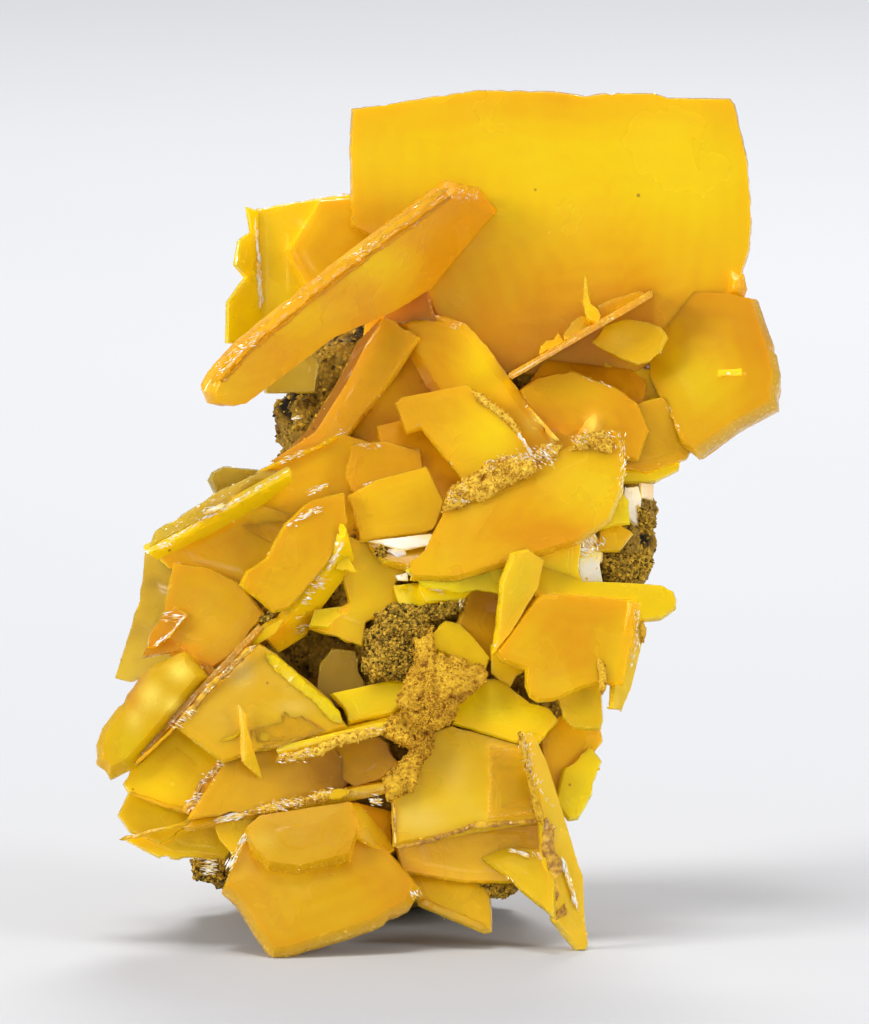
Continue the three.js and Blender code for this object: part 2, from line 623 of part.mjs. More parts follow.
function rockSolid() {
  const [lowest, highest] = [ROCK_RINGS[0][0], ROCK_RINGS.at(-1)[0]];
  const positions = [];
  for (let row = 0; row <= ROCK_ROWS; row++) {
    const height = lowest + ((highest - lowest) * row) / ROCK_ROWS;
    for (let column = 0; column < ROCK_COLUMNS; column++) {
      positions.push(...rockPoint(height, (2 * Math.PI * column) / ROCK_COLUMNS));
    }
  }
  const capCentre = ([height, left, right, front, back]) => {
    return [(left + right) / 2, (front + back) / 2, height];
  };
  positions.push(...capCentre(ROCK_RINGS[0]), ...capCentre(ROCK_RINGS.at(-1)));
  const bottom = (ROCK_ROWS + 1) * ROCK_COLUMNS;
  const faces = [];
  for (let column = 0; column < ROCK_COLUMNS; column++) {
    const next = (column + 1) % ROCK_COLUMNS;
    faces.push(bottom, column, next);
    const last = ROCK_ROWS * ROCK_COLUMNS;
    faces.push(bottom + 1, last + next, last + column);
    for (let row = 0; row < ROCK_ROWS; row++) {
      const [here, up] = [row * ROCK_COLUMNS, (row + 1) * ROCK_COLUMNS];
      faces.push(here + column, up + column, up + next);
      faces.push(here + column, up + next, here + next);
    }
  }
  const geometry = new THREE.BufferGeometry();
  geometry.setAttribute("position", new THREE.Float32BufferAttribute(positions, 3));
  geometry.setIndex(faces);
  return toSolid(geometry);
}

// ---- crusts ----

// A granular crust is a chain of flattened lumps: each is x, y, z and its radius.
function crustSolid(lumps, thickness, detail) {
  return join(
    lumps.map(([x, y, z, radius]) => {
      const geometry = new THREE.IcosahedronGeometry(1, detail);
      const position = geometry.attributes.position;
      for (let i = 0; i < position.count; i++) {
        const [px, py, pz] = [position.getX(i), position.getY(i), position.getZ(i)];
        const size = 1 + 0.08 * wave(x + px * 3, py * 3, z + pz * 3, 1);
        position.setXYZ(
          i,
          x + px * radius * size,
          y + py * thickness * size,
          z + pz * radius * size,
        );
      }
      return toSolid(geometry);
    }),
  );
}

const CRUSTS = {
  ochre_crust: crustSolid(
    [
      [2.9, -1.9, 32.3, 2.4], [0.6, -2.3, 32.4, 2.3], [-1.4, -2.8, 29.6, 2.7],
      [-3, -3.2, 26.4, 2.8], [-2.4, -3.8, 23, 2.2], [-4.2, -4.2, 20.4, 2],
    ],
    1.7,
    1,
  ),
  edge_crust: crustSolid(
    [
      [2.2, 0, 53.1, 1.6], [4.7, 0.4, 54.3, 1.8], [7.2, 0.6, 55.6, 2], [9.8, 0.7, 57, 1.6],
      [12, 0.7, 58.3, 1.2], [14.2, 0.6, 59.2, 1.2], [16.4, 0.5, 59.6, 1.2], [18.5, 0.4, 60, 1.2],
    ],
    1.3,
    0,
  ),
};

// ---- assembly ----

// Everything below the resting plane is worn away. The plane is level once the face leans back.
function floorSolid() {
  const size = 300;
  const geometry = new THREE.BoxGeometry(size, size, size);
  geometry.translate(0, 0, FLOOR_UP - size / 2);
  geometry.rotateX(THREE.MathUtils.degToRad(LEAN_DEG));
  return toSolid(geometry);
}

const face = new THREE.Group();
face.rotation.x = -THREE.MathUtils.degToRad(LEAN_DEG);

function place(name, solid, color, roughness) {
  const material = new THREE.MeshStandardMaterial({ color, roughness, metalness: 0 });
  const mesh = new THREE.Mesh(toGeometry(solid), material);
  mesh.name = name;
  face.add(mesh);
}

function crystalColour(name) {
  const other = OTHER_COLOURS.find(([, names]) => names.includes(name));
  return other ? other[0] : CRYSTAL_COLOUR;
}

const floor = floorSolid();
const cutters = [];
for (const [name, tablets] of Object.entries(CRYSTALS)) {
  const whole = join(tablets.map((tablet) => tabletSolid(tablet))).subtract(floor);
  place(name, cutBack(whole, cutters), crystalColour(name), 0.25);
  cutters.push(join(tablets.map(tabletRoom)));
}
for (const [name, solid] of Object.entries(CRUSTS)) {
  place(name, cutBack(solid, cutters), CRUST_COLOUR, 0.9);
}
cutters.push(...Object.values(CRUSTS));
place("matrix", cutBack(rockSolid().subtract(floor), cutters), MATRIX_COLOUR, 0.95);

// The origin lies under the middle of the specimen, on the surface that it rests on.
const specimen = new THREE.Group();
specimen.add(face);
specimen.updateMatrixWorld(true);
const box = new THREE.Box3().setFromObject(specimen, true);
const middle = box.getCenter(new THREE.Vector3());
face.position.set(-middle.x, -middle.y, -box.min.z);

export default specimen;
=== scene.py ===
"""A wulfenite specimen: translucent yellow square tablets crowded on dark iron-oxide matrix.

Shapes are laid out in the specimen's face frame in millimetres, as in the part's source: X to the
right, Y back into the rock and Z up the face. The face leans back a little in the specimen's own
frame, which is in metres with Z up.
"""
import math

import bpy
import numpy as np
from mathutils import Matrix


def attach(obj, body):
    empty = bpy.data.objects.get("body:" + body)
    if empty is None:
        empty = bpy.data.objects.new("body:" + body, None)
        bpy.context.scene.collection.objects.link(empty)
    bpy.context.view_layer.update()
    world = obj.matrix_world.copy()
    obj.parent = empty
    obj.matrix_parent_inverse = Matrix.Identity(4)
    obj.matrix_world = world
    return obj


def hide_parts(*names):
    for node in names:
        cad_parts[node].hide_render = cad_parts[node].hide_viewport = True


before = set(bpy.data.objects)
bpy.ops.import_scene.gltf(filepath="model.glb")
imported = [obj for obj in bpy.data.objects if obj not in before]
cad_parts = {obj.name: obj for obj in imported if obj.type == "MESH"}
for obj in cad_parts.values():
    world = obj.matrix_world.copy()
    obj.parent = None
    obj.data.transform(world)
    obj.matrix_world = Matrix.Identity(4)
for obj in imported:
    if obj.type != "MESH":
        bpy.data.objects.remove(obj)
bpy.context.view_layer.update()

# ---- driving values ----
MM = 0.001
LEAN = math.radians(8)  # how far the face leans back from the vertical
FACE_ORIGIN = np.array([-0.075, -15.69, -1.3])  # the face frame's origin, in millimetres
VIEW_CENTRE = (-0.4, 6.0, 51.2)  # what the camera looks at, in the face frame
VIEW_DISTANCE = 3000.0
VIEW_HEIGHT = 117.8  # height of the field of view at the face
SHARP_ANGLE = math.radians(22)  # from which an edge between two faces is drawn sharp
ROCK_SHARP_ANGLE = math.radians(40)
FIRST_CRYSTAL_SEED, TRIM_SEED, ROCK_SEED = 100, 9, 5


def to_specimen(points):
    """Millimetres in the face frame to metres in the specimen's frame.

    The points turn about X by the lean and are shifted, and nothing goes below the floor.
    """
    x, y, z = points[..., 0], points[..., 1], points[..., 2]
    c, s = math.cos(LEAN), math.sin(LEAN)
    leaned = np.stack([x, y * c + z * s, z * c - y * s], axis=-1) + FACE_ORIGIN
    leaned[..., 2] = np.maximum(leaned[..., 2], 0.0)
    return leaned * MM


# ---- outlines of the crystals ----
def facing(depth, right, up, thickness, bevel, outline):
    """A tablet that looks towards the front, from the [x, z] points of its rim.

    Its plane has the depth y at the middle of the outline and gains depth per millimetre to the
    right and up the face.
    """
    x, z = np.array(outline, dtype=float).T
    x0, z0 = (x.min() + x.max()) / 2, (z.min() + z.max()) / 2
    rim = np.stack([x, depth + right * (x - x0) + up * (z - z0), z], axis=-1)
    return {"rim": rim, "thickness": thickness, "bevel": bevel}


def edge_on(thickness, bevel, rim):
    """A tablet seen on edge, from the [x, y, z] points of its rim."""
    return {"rim": np.array(rim, dtype=float), "thickness": thickness, "bevel": bevel}


CRYSTALS = {
    "long_blade": [
        facing(2.3, 0.85, -0.455, 2.8, 0.7, [
            [-26.9, 65.2], [-26.3, 63.7], [-25, 63.3], [-22.8, 63.5], [-15, 69.4], [-12.6, 71.2],
            [-5.7, 74.2], [-1.4, 76.9], [4.6, 84.2], [6.6, 86.3], [4.6, 88.5], [1.2, 89.3],
            [-4.8, 84.9], [-15, 77], [-22.6, 70.8], [-25.9, 67.2]]),
    ],
    "top_plate": [
        facing(13.5, 0.04, 0.1, 2.8, 0.45, [
            [-10, 97.7], [-10.3, 93], [-10, 84], [-2.6, 80], [-0.3, 73.6], [1.5, 67], [22, 66.5],
            [34.2, 73.5], [35.2, 78.7], [36, 81.5], [36.3, 85.5], [35.8, 91.5], [34.3, 98.2],
            [33.7, 98.9], [26.5, 99], [25, 99.5], [20, 99.6], [17, 99.2], [13.4, 99.7], [4.5, 99.9],
            [-4.5, 98.5]]),
        facing(12.4, -0.3, 0.1, 1.2, 0.3, [
            [33.4, 75.6], [35.2, 75.8], [35.7, 76.9], [35.2, 78.6], [33.8, 79.2]]),
    ],
    "right_plate": [
        facing(9.8, -0.32, 0.36, 4, 1.1, [
            [25.5, 76.6], [24, 71], [24.6, 66.2], [28.2, 58.6], [29.9, 57.4], [34.4, 60.6],
            [39.1, 63.2], [39.35, 67], [38.8, 69.8], [36.8, 75.5], [35.1, 76.1]]),
        facing(7.0, -0.32, 0.36, 0.3, 0.06, [[32.2, 66.8], [32.3, 67.5], [34.9, 67.7], [35, 66.9]]),
    ],
    "centre_plate": [
        facing(-1, -0.1, 0.3, 2.4, 0.7, [
            [0.9, 51.6], [-0.7, 48.4], [-1.6, 46.6], [-3.3, 45.4], [-3.1, 43.3], [2, 43.2], [8, 45],
            [16, 47.5], [19.8, 50], [21.2, 53.5], [21.6, 57], [20.6, 60.6], [14.6, 58.4], [8, 54.9]]),
        facing(-0.9, 0, 0.1, 1.4, 0.3, [
            [7.5, 43.6], [9, 47.5], [14, 49.5], [16.6, 49], [16.2, 44.6], [16.8, 43], [11.6, 42.6]]),
    ],
    "bottom_plate": [
        facing(-4, 0.02, 0.45, 3.6, 1.1, [
            [-24.8, 7.6], [-23.2, 6.1], [-20, 1.2], [-18.9, 0.1], [-17.3, 0.1], [-7.3, 3.4],
            [-3.3, 5.6], [-2, 8], [-5.4, 12], [-9.5, 18.4], [-21, 16.4], [-22.2, 14.6]]),
        facing(-4.4, 0.02, 0.45, 3.4, 0.5, [
            [-22.2, 14.6], [-21.4, 12], [-19.5, 10.2], [-16, 9.8], [-10, 11.2], [-8.8, 15], [-10, 17.6],
            [-20.6, 16]]),
        facing(-3.4, 0.5, 0.45, 1, 0.25, [
            [-10.6, 18], [-10.2, 14.6], [-8.8, 13.4], [-6, 11.8], [-5, 12.4], [-6.6, 14.8],
            [-9.2, 17.6]]),
        # A dark sheet in the recess between the plates: painted shade.
        facing(-2.6, 0.5, 0.4, 0.8, 0.2, [[-9.8, 17.9], [-8, 15.2], [-5.4, 12.6], [-5.4, 16.8]]),
    ],
    "right_fan_plates": [
        facing(-3.5, 0.1, 0.15, 2.6, 0.8, [
            [11.6, 42], [6.5, 35], [7, 34], [9.9, 33], [9.9, 31.2], [10.4, 29.9], [11.4, 29.3],
            [13.4, 29.4], [16.4, 30.8], [18.9, 31.4], [21.3, 31], [22.6, 37], [22.7, 41.2]]),
        facing(-4.3, 0.4, -0.1, 1.6, 0.4, [
            [6.1, 34.8], [8.3, 37.5], [11.3, 42.5], [12, 45.8], [10.2, 47], [8.4, 46.5], [7.1, 43.2],
            [6.7, 38.5]]),
        facing(-1.7, 0.05, 0.35, 1.4, 0.4, [
            [10.5, 45.5], [11, 41.4], [20, 39.2], [23.8, 38.6], [25.6, 38.8], [27.3, 40], [27.35, 41],
            [27, 42], [25.8, 42.7], [22, 43], [16.5, 43.2]]),
        facing(-3, 0.6, 0, 1.2, 0.3, [
            [21.5, 41], [21, 38], [20, 33], [19.7, 28.6], [20.9, 28.5], [21.9, 30.8], [23.3, 36.5],
            [23.6, 40.8]]),
        facing(-3.2, 0, 0.15, 1.6, 0.35, [
            [13.6, 30.4], [14.2, 27.5], [15.5, 26.3], [18.6, 26.1], [19, 27.2], [18.7, 32.2]]),
        facing(-1.4, 0.1, 0.15, 1.2, 0.3, [
            [6, 36], [6.1, 32.6], [8.4, 30.8], [9, 32.3], [10.2, 33], [12, 36.4]]),
    ],
    "spike_plates": [
        facing(-4.6, 0.6, -0.03, 1.8, 0.4, [
            [9.3, 25.9], [10.2, 22], [11.7, 15.5], [12.2, 10], [13.2, 4.2], [15.8, 0.9], [16.6, 0.9],
            [16.9, 1.6], [16.5, 4.5], [16.3, 9.5], [15.7, 11], [14.4, 15.5], [12.2, 22.5],
            [10.5, 26.3]]),
        facing(-4.5, -0.2, 0.5, 1.6, 0.4, [
            [4.8, 11.3], [7.5, 9.5], [9.9, 7.3], [13.4, 4.5], [13.6, 11.6], [12.6, 12.3], [8, 12.6]]),
    ],
    "frosted_plate": [
        facing(-2.5, 0.05, 0.2, 2.2, 0.8, [
            [-20.6, 36.2], [-23.2, 34], [-28, 29], [-30, 26.3], [-24.7, 22.3], [-17.5, 24.3],
            [-10.2, 26.3], [-12.3, 29.6], [-18.6, 34.9]]),
        facing(-4.4, 1.1, 0.1, 0.6, 0.12, [
            [-22.9, 29.3], [-22.5, 26.5], [-22.4, 22.6], [-20.2, 20.5], [-21.3, 24], [-22, 26.2],
            [-22.2, 28]]),
        edge_on(0.7, 0.2, [
            [-20.2, -2.6, 38.2], [-26.3, -3.2, 32.3], [-34.7, -3.6, 22.2], [-34, 5, 21.6], [-24, 5, 31],
            [-19.6, 5, 36.6]]),
    ],
    "left_block": [
        facing(-2, -0.1, 0.15, 4, 1.2, [
            [-33.3, 33.3], [-38.6, 26.3], [-39.2, 24.4], [-39.15, 22.2], [-37.6, 20.4], [-34.8, 21.9],
            [-30.5, 26.8], [-26.1, 32.2], [-29, 35.2]]),
    ],
    "white_plate": [
        facing(-3, 0.05, 0.25, 2.4, 0.6, [
            [-5.4, 18.3], [-5.2, 12.8], [0, 13.7], [11.9, 15.6], [10.8, 24], [1.5, 26.6], [-3, 25]]),
        facing(-3.3, 0.05, 0.25, 1.5, 0.05, [[5.9, 24.4], [5.7, 15.9], [10.9, 16.6], [10.4, 23.5]]),
    ],
    "roof_plate": [
        facing(-1.6, 0, 0.3, 1.4, 0.4, [
            [1.6, 26.8], [9, 24.6], [11.5, 24.5], [13.9, 27.3], [12.7, 28.8], [10.6, 29.2], [7.2, 31.9],
            [5, 32], [2.2, 29.8]]),
    ],
    "knee_plate": [
        facing(-1, 0.15, 0.15, 1.9, 0.6, [
            [-22.8, 42.8], [-18.9, 39.6], [-17.2, 39.9], [-12.5, 45.5], [-10.3, 50], [-10.8, 53.4],
            [-14.5, 52.8], [-17.6, 49.9], [-19.8, 45.9], [-22, 44.4]]),
    ],
    "comb_blade": [
        facing(0, 0.75, -0.66, 1.5, 0.35, [
            [-10.8, 49.9], [-13, 45.3], [-16.5, 40.8], [-20, 36.8], [-18.7, 35.2], [-15.5, 37.2],
            [-14, 40], [-11.1, 43.8], [-9.9, 46.2]]),
        facing(-1, 0.3, -0.5, 1, 0.3, [
            [-23.4, 35.4], [-22.5, 35], [-18.7, 37.4], [-17.6, 39.4], [-19.7, 38.5]]),
    ],
    "crest_blade": [
        facing(2, 0.4, -0.8, 1.6, 0.4, [
            [-33.8, 47], [-32.5, 46], [-27, 48.6], [-20, 52.5], [-16.7, 55.2], [-17, 56.2], [-24, 52.3],
            [-32, 47.7]]),
        facing(1.5, 0.5, 0.3, 1.2, 0.3, [
            [-33, 47.2], [-24, 51.9], [-17.3, 55.9], [-20.4, 55.9], [-25.8, 53.3], [-27.2, 52.2],
            [-32.4, 49.1]]),
    ],
    "square_plate": [
        facing(2.5, 0, 0.2, 1.8, 0.5, [
            [-10.4, 53], [-9, 47.6], [-0.4, 48.7], [0.8, 52.2], [-1.3, 56.5], [-7, 54.9]]),
    ],
    "pointed_plate": [
        facing(4, -0.05, 0.2, 1.8, 0.5, [
            [-5.1, 63.6], [-3.6, 60.1], [-1.9, 60.6], [3, 54.5], [10, 55], [11, 57.5], [9.4, 60],
            [3.4, 65.9], [-4.2, 64.4]]),
    ],
    "leaning_plate": [
        facing(8.9, -0.3, 0.1, 1.8, 0.3, [
            [-6, 73.6], [-8, 70.8], [-10.4, 66], [-14, 60.4], [-19.2, 57], [-16, 56.5], [-11, 58.5],
            [-9.8, 60.5], [-5.1, 66.5], [-2, 71.3], [-4.8, 73.1]]),
        # A darker sheet behind the rim, for the plate's shaded side: painted shade.
        facing(10.1, -0.3, 0.1, 1.4, 0.3, [
            [-6.6, 73.4], [-9.2, 70.8], [-11.6, 66], [-15.2, 60.4], [-18, 57.6], [-13, 58], [-7, 68]]),
    ],
    "arched_plate": [
        facing(7.7, -0.1, 0.15, 1.8, 0.8, [
            [-4.9, 73], [-3.5, 69.5], [0, 63], [6, 56], [13, 56], [14.1, 59.2], [12, 61.7], [10, 64.3],
            [8, 67], [6.2, 69.6], [4.6, 71.6], [3.2, 72.9], [1, 73.7], [-1.3, 74.1], [-3.4, 73.9]]),
        # A thin pale tablet on the rim: a painted glint.
        facing(5.2, -0.1, 0.15, 0.6, 0.12, [
            [10, 63.6], [10.7, 63.2], [14.1, 59.4], [13.6, 58.9], [13, 59.4], [11.5, 61.4]]),
    ],
    "thin_shelf": [
        edge_on(0.8, 0.25, [
            [8.2, 4, 66.7], [16, 3.4, 71.3], [24.6, 5.5, 76.3], [24.8, 13, 76.6], [8.6, 12, 67.1]]),
        facing(7, -0.3, 0, 0.6, 0.15, [[16.9, 79], [16.7, 75.2], [17.2, 73], [18, 73.6], [17.6, 75.2]]),
        facing(7.4, 0.1, 0.5, 0.8, 0.2, [
            [14.3, 70.6], [14.5, 71.6], [15.3, 72.9], [16.2, 73.6], [17.5, 73.7], [18.6, 72.4]]),
        facing(8.6, 0.3, 0.1, 0.5, 0.12, [
            [18.3, 75], [18.9, 73], [24.4, 76], [23.2, 76.7], [20.5, 75.9]]),
        facing(8, 0.2, 0.3, 0.6, 0.15, [
            [11.8, 70.3], [11.6, 69.1], [14.5, 70.6], [14.3, 71], [13.8, 71.9], [13.3, 71],
            [12.4, 70.9]]),
        facing(6, 0.1, 0.4, 0.8, 0.2, [
            [16.6, 75.2], [17.3, 75.3], [18.4, 74.4], [18.9, 73.4], [18.2, 72.6], [17, 73.4]]),
    ],
    "leaf_tablet": [
        facing(7.4, 0.1, 0.3, 0.5, 0.2, [
            [17.6, 70.7], [19.4, 69.7], [21.4, 68.7], [23, 68.1], [24.4, 68.5], [25.8, 69.8],
            [26.5, 71.2], [25.8, 72.4], [24, 73.1], [21.6, 73.4], [19.2, 72.6]]),
    ],
    "saddle_plates": [
        facing(7, 0, 0.2, 1.8, 0.6, [
            [9.3, 65.1], [13.5, 57.5], [23, 57], [24.3, 60.5], [23, 63.8], [20.4, 65.5], [15.2, 67.5],
            [11.3, 66.6]]),
        facing(9.6, 0.1, 0.6, 1.5, 0.4, [
            [10.4, 66], [12, 60], [23.5, 60], [24, 66], [20.5, 68.9], [16.8, 70], [12, 68.3]]),
        facing(5.2, 0.3, 0.2, 0.7, 0.15, [
            [15.6, 59.6], [16.8, 61.6], [17.8, 62.5], [18.3, 62.3], [18.1, 60.5], [17.6, 59.8]]),
        facing(11.4, 0.1, 0.1, 1.4, 0.4, [[19, 60], [27, 59.6], [27, 67], [19, 69]]),
    ],
    "hook_plates": [
        facing(8, 0.1, 0.1, 1.5, 0.4, [
            [21, 63], [21, 56], [24, 55.6], [28.6, 57.2], [29.4, 58.6], [25.9, 64.6]]),
        facing(8.6, 0.1, 0.3, 1.2, 0.3, [
            [21.4, 59.5], [21, 54.4], [25, 54.5], [27.7, 55.9], [28.4, 57.2], [29, 60], [25, 61]]),
        facing(0.8, 0.2, 0.3, 1, 0.25, [
            [17.4, 50.4], [18.6, 52.5], [20.6, 54.2], [21.9, 52.4], [22, 49.8], [19, 49.2]]),
        facing(2, 0.2, 0.3, 1, 0.25, [
            [18.2, 46.6], [18.6, 49.8], [21.2, 49.8], [22.4, 48.6], [20.8, 46.6]]),
    ],
    "upper_left_plates": [
        facing(17, 0.1, 0, 1.4, 0.4, [
            [-21, 86.2], [-20.6, 72.4], [-14, 74], [-5, 78], [-4, 88.4], [-10, 88.1]]),
        facing(15.8, 0.1, 0.05, 1.8, 0.5, [
            [-17.5, 81.2], [-15, 76.6], [-11, 75], [-5, 78.5], [-5, 88], [-13.8, 87.2]]),
    ],
    "left_edge_blade": [
        facing(14.4, 1.1, 0, 0.55, 0.15, [
            [-22.1, 86.4], [-21.8, 83.6], [-23, 82.5], [-23.5, 79.6], [-22.4, 78.2], [-24.3, 75.4],
            [-24.4, 70.6], [-19.5, 70.4], [-19.8, 74.5], [-20.2, 80], [-20.8, 85.9]]),
    ],
    "pale_tablet": [
        facing(9.6, 0.25, 0.1, 1, 0.25, [
            [-20, 64.8], [-14.3, 64.9], [-13.7, 68.2], [-15.2, 70], [-20, 69.5]]),
    ],
    "recess_plate": [
        facing(11, -0.1, 0.2, 1.6, 0.5, [
            [-8, 75.5], [-9.6, 66], [-11, 60.6], [-9.6, 57], [4, 57], [5.5, 66], [0.4, 73.4],
            [-1.2, 76.8]]),
        # A dark sheet in the recess between the long blade and the top plate: painted shade.
        facing(9.4, -0.1, 0.1, 0.5, 0.1, [[-6.4, 72.8], [-6, 75], [-1.3, 77.2], [0, 73]]),
    ],
    "crest_plate": [
        facing(6.2, 0.05, 0.2, 1.8, 0.5, [
            [-22, 55.2], [-24, 50], [-17, 46], [-8, 46], [-5, 52], [-6, 58.6], [-11, 60.2],
            [-17, 57.6]]),
    ],
    "orange_tablet": [
        facing(4.8, 0, 0.2, 1.2, 0.4, [
            [-10, 59], [-10.6, 55.5], [-10.2, 53.4], [-6, 52.6], [-1.6, 55], [-2, 58.2], [-6, 59.3]]),
    ],
    "nest_plate": [
        facing(6.4, 0.1, 0.4, 1.6, 0.5, [[-7, 61], [-6.5, 52], [1, 50], [12, 56], [4, 62], [-3, 62]]),
    ],
    "back_knob": [
        facing(10, 0.1, 0.1, 3, 0.8, [
            [-26.5, 54.8], [-25.8, 53.2], [-19, 52], [-17, 55.4], [-21.8, 56.3], [-24.8, 56.5],
            [-26.1, 55.8]]),
    ],
    "slope_plate": [
        facing(4.6, 0.05, 0.1, 1.4, 0.4, [
            [-32.6, 46.4], [-31, 44.6], [-22, 42.6], [-17, 47], [-17, 51], [-22, 52.6]]),
    ],
    "rust_plate": [
        facing(1.5, -0.1, 0.1, 1.8, 0.5, [
            [-30.4, 45.4], [-32.4, 36.2], [-28.2, 34.6], [-26.3, 32.8], [-22.5, 35.5], [-19.8, 39.4],
            [-22.9, 43.2], [-26.5, 44.9]]),
        facing(0.4, -0.1, 0.1, 0.9, 0.3, [
            [-33.4, 35.6], [-33.2, 37], [-31.8, 39.2], [-30.2, 40.3], [-28.7, 39.5], [-30.2, 37.5],
            [-32.4, 35.6]]),
        facing(0.6, -0.1, 0.3, 0.8, 0.2, [
            [-34, 34.4], [-33.2, 36.4], [-31.2, 37.2], [-29.2, 35.3], [-31.2, 34.9]]),
        facing(-1, 0, 0.3, 0.6, 0.15, [[-27.4, 33.9], [-26, 31.9], [-24.6, 32.8], [-25.6, 33.1]]),
        facing(1, -0.1, 0.1, 1.2, 0.3, [
            [-31.4, 35.6], [-29.6, 32.6], [-26.4, 31.2], [-25.4, 34], [-28, 36.2]]),
    ],
    "left_wing": [
        facing(5, -0.5, 0, 1, 0.3, [
            [-33.6, 46.8], [-33.9, 43.2], [-35.2, 38], [-37.1, 32], [-35.3, 31.5], [-29, 34], [-27, 40],
            [-30, 45.4]]),
    ],
    "apron_plate": [
        facing(-0.6, 0, 0.2, 2, 0.5, [
            [-36.3, 20], [-35.6, 18.9], [-33, 17.8], [-28.4, 16.4], [-24.4, 22.4], [-30, 27.4],
            [-34.7, 23]]),
    ],
    "toe_plates": [
        facing(0.5, 0, 0.2, 1.6, 0.4, [
            [-35.6, 18.9], [-36.8, 16.3], [-35.5, 14.4], [-32, 13], [-27, 15.5], [-30, 18]]),
        facing(1.6, 0.05, 0.1, 1.6, 0.4, [
            [-36.2, 13.5], [-32, 11.4], [-24.6, 10.9], [-22.5, 14.5], [-25, 16.5], [-31, 16]]),
        facing(-2.4, 0, 0.1, 1, 0.2, [
            [-26.4, 16.6], [-25, 13.4], [-23.4, 11.6], [-20.5, 15], [-21, 17]]),
    ],
    "lower_shelf": [
        edge_on(1.3, 0.35, [
            [-29.3, -2.6, 14.9], [-18, -3.2, 17.4], [-5.6, -3, 19.4], [-5.8, 7, 20.8],
            [-28.6, 7, 16.4]]),
        facing(-4.2, 0.1, 0.3, 0.6, 0.15, [
            [-12.5, 18.3], [-11.2, 18.2], [-10.2, 18.7], [-9.9, 19.4], [-11.6, 19.6], [-12.4, 18.9]]),
    ],
    "upper_shelf": [
        edge_on(1.2, 0.3, [[-18.5, -4.4, 23.7], [-4, -4.4, 27], [-4, 6, 28.6], [-18.5, 6, 25.4]]),
    ],
    "niche_plate": [
        facing(-2, 0.25, 0.1, 1.8, 0.4, [
            [-24.6, 22.8], [-28.8, 15.9], [-12, 17.9], [-9.6, 21], [-12.8, 25], [-18.5, 25]]),
        edge_on(0.9, 0.25, [
            [-24.8, -3.6, 22.3], [-28, -3.6, 19.2], [-28.8, -3.4, 16.5], [-28.4, 4, 16.6],
            [-27.4, 4, 19.2], [-24.2, 4, 22]]),
        facing(-3.9, 0.05, 0.2, 0.3, 0.06, [
            [-22.2, 28.9], [-19.8, 28.8], [-15.6, 28], [-12.8, 26.1], [-18.2, 24.2], [-21.3, 24]]),
    ],
    "amber_plate": [
        facing(-0.4, -0.2, 0.1, 1.4, 0.3, [
            [-13, 23.2], [-12.3, 21.4], [-10.3, 20], [-9.4, 19.5], [-6.5, 20.4], [-4.6, 22.3],
            [-5.6, 24.6], [-6.6, 25.4], [-12, 24.6]]),
    ],
    "under_plate": [
        facing(-1.8, 0, 0.05, 2, 0.6, [
            [-5.2, 13.8], [-4.2, 9.8], [3.4, 8.6], [8, 8.6], [12, 9], [12.6, 12], [12.2, 15.4],
            [4, 16]]),
    ],
    "keel_plate": [
        facing(-1, 0.05, 0.35, 2, 0.7, [
            [-3.6, 9.8], [-2.3, 6], [5.3, 2.8], [6.2, 3], [6.3, 4.2], [6, 7.2], [3.5, 10.5]]),
    ],
    "cheek_plate": [
        facing(1.6, 0.15, 0.1, 1.5, 0.4, [
            [11.6, 26.4], [12, 21], [13, 17.4], [14.8, 18], [16, 21.4], [18.2, 23.8], [18.9, 24.9],
            [18.6, 26.4], [14.2, 28]]),
    ],
    "fin_plate": [
        facing(0.6, 0.1, 0.15, 1.8, 0.6, [
            [17.2, 24.6], [14.2, 21.5], [13.3, 17.8], [14.9, 15.7], [16.1, 15.8], [17.8, 18.8],
            [18, 20.2], [18.9, 22.5]]),
    ],
    "heart_plate": [
        facing(2, 0.05, 0.1, 1.6, 0.4, [
            [-10.6, 48.6], [-11.3, 44.5], [-10.3, 40.8], [-15, 37.8], [-8.6, 35.6], [-8.2, 38.4],
            [-4.6, 40.4], [-4.8, 43], [-3.1, 45], [-8.6, 47.8]]),
        facing(1, 0.2, 0.5, 0.9, 0.2, [
            [-14.9, 38], [-12.6, 37.7], [-10.3, 39.7], [-10, 41.1], [-11, 40.3], [-14.4, 39.8]]),
        facing(0.2, 0.2, 0.2, 0.6, 0.15, [[-10.9, 47.2], [-11.8, 44.6], [-9.3, 44.2]]),
    ],
    "lip_plates": [
        facing(0.4, 0, 0.5, 1.3, 0.3, [
            [-5.2, 42.6], [-4.6, 40.4], [-0.6, 39.6], [0.4, 41], [-1.6, 43]]),
        facing(0, 0.1, 0.4, 1.3, 0.3, [
            [-2.6, 43], [-1.4, 40.6], [3, 40.9], [4.6, 42.2], [6.8, 45], [1, 44.6]]),
        facing(-1.4, 0.1, 0.1, 1.2, 0.3, [
            [-4.2, 44.6], [-1.6, 42.6], [2.6, 41.8], [4.4, 42.2], [6.9, 41.7], [8, 45], [0, 47]]),
    ],
    "facet_plate": [
        facing(1.8, 0, 0.8, 1.3, 0.3, [
            [-9.2, 48.6], [-6.5, 45.4], [-3, 44.4], [0.6, 46], [0.8, 49.6], [-4, 50.2]]),
    ],
    "umber_plate": [
        facing(1.2, 0.4, 0, 1.4, 0.3, [[2.2, 38.4], [4.2, 35], [9, 33], [11, 42], [3.4, 42.4]]),
    ],
    "dome_plate": [
        facing(-1.4, 0.1, 0.3, 1.6, 0.5, [
            [-0.9, 37.3], [-0.8, 35.4], [2, 34.2], [5.2, 32], [6, 34.4], [4.2, 36.7], [2.6, 38.3],
            [0.8, 38.7]]),
    ],
    "olive_tablet": [
        facing(1.4, 0, 0.1, 1.4, 0.4, [
            [-14, 31.8], [-13.9, 29.6], [-12, 28.6], [-8.2, 29.6], [-8.4, 31.6], [-9, 33.4],
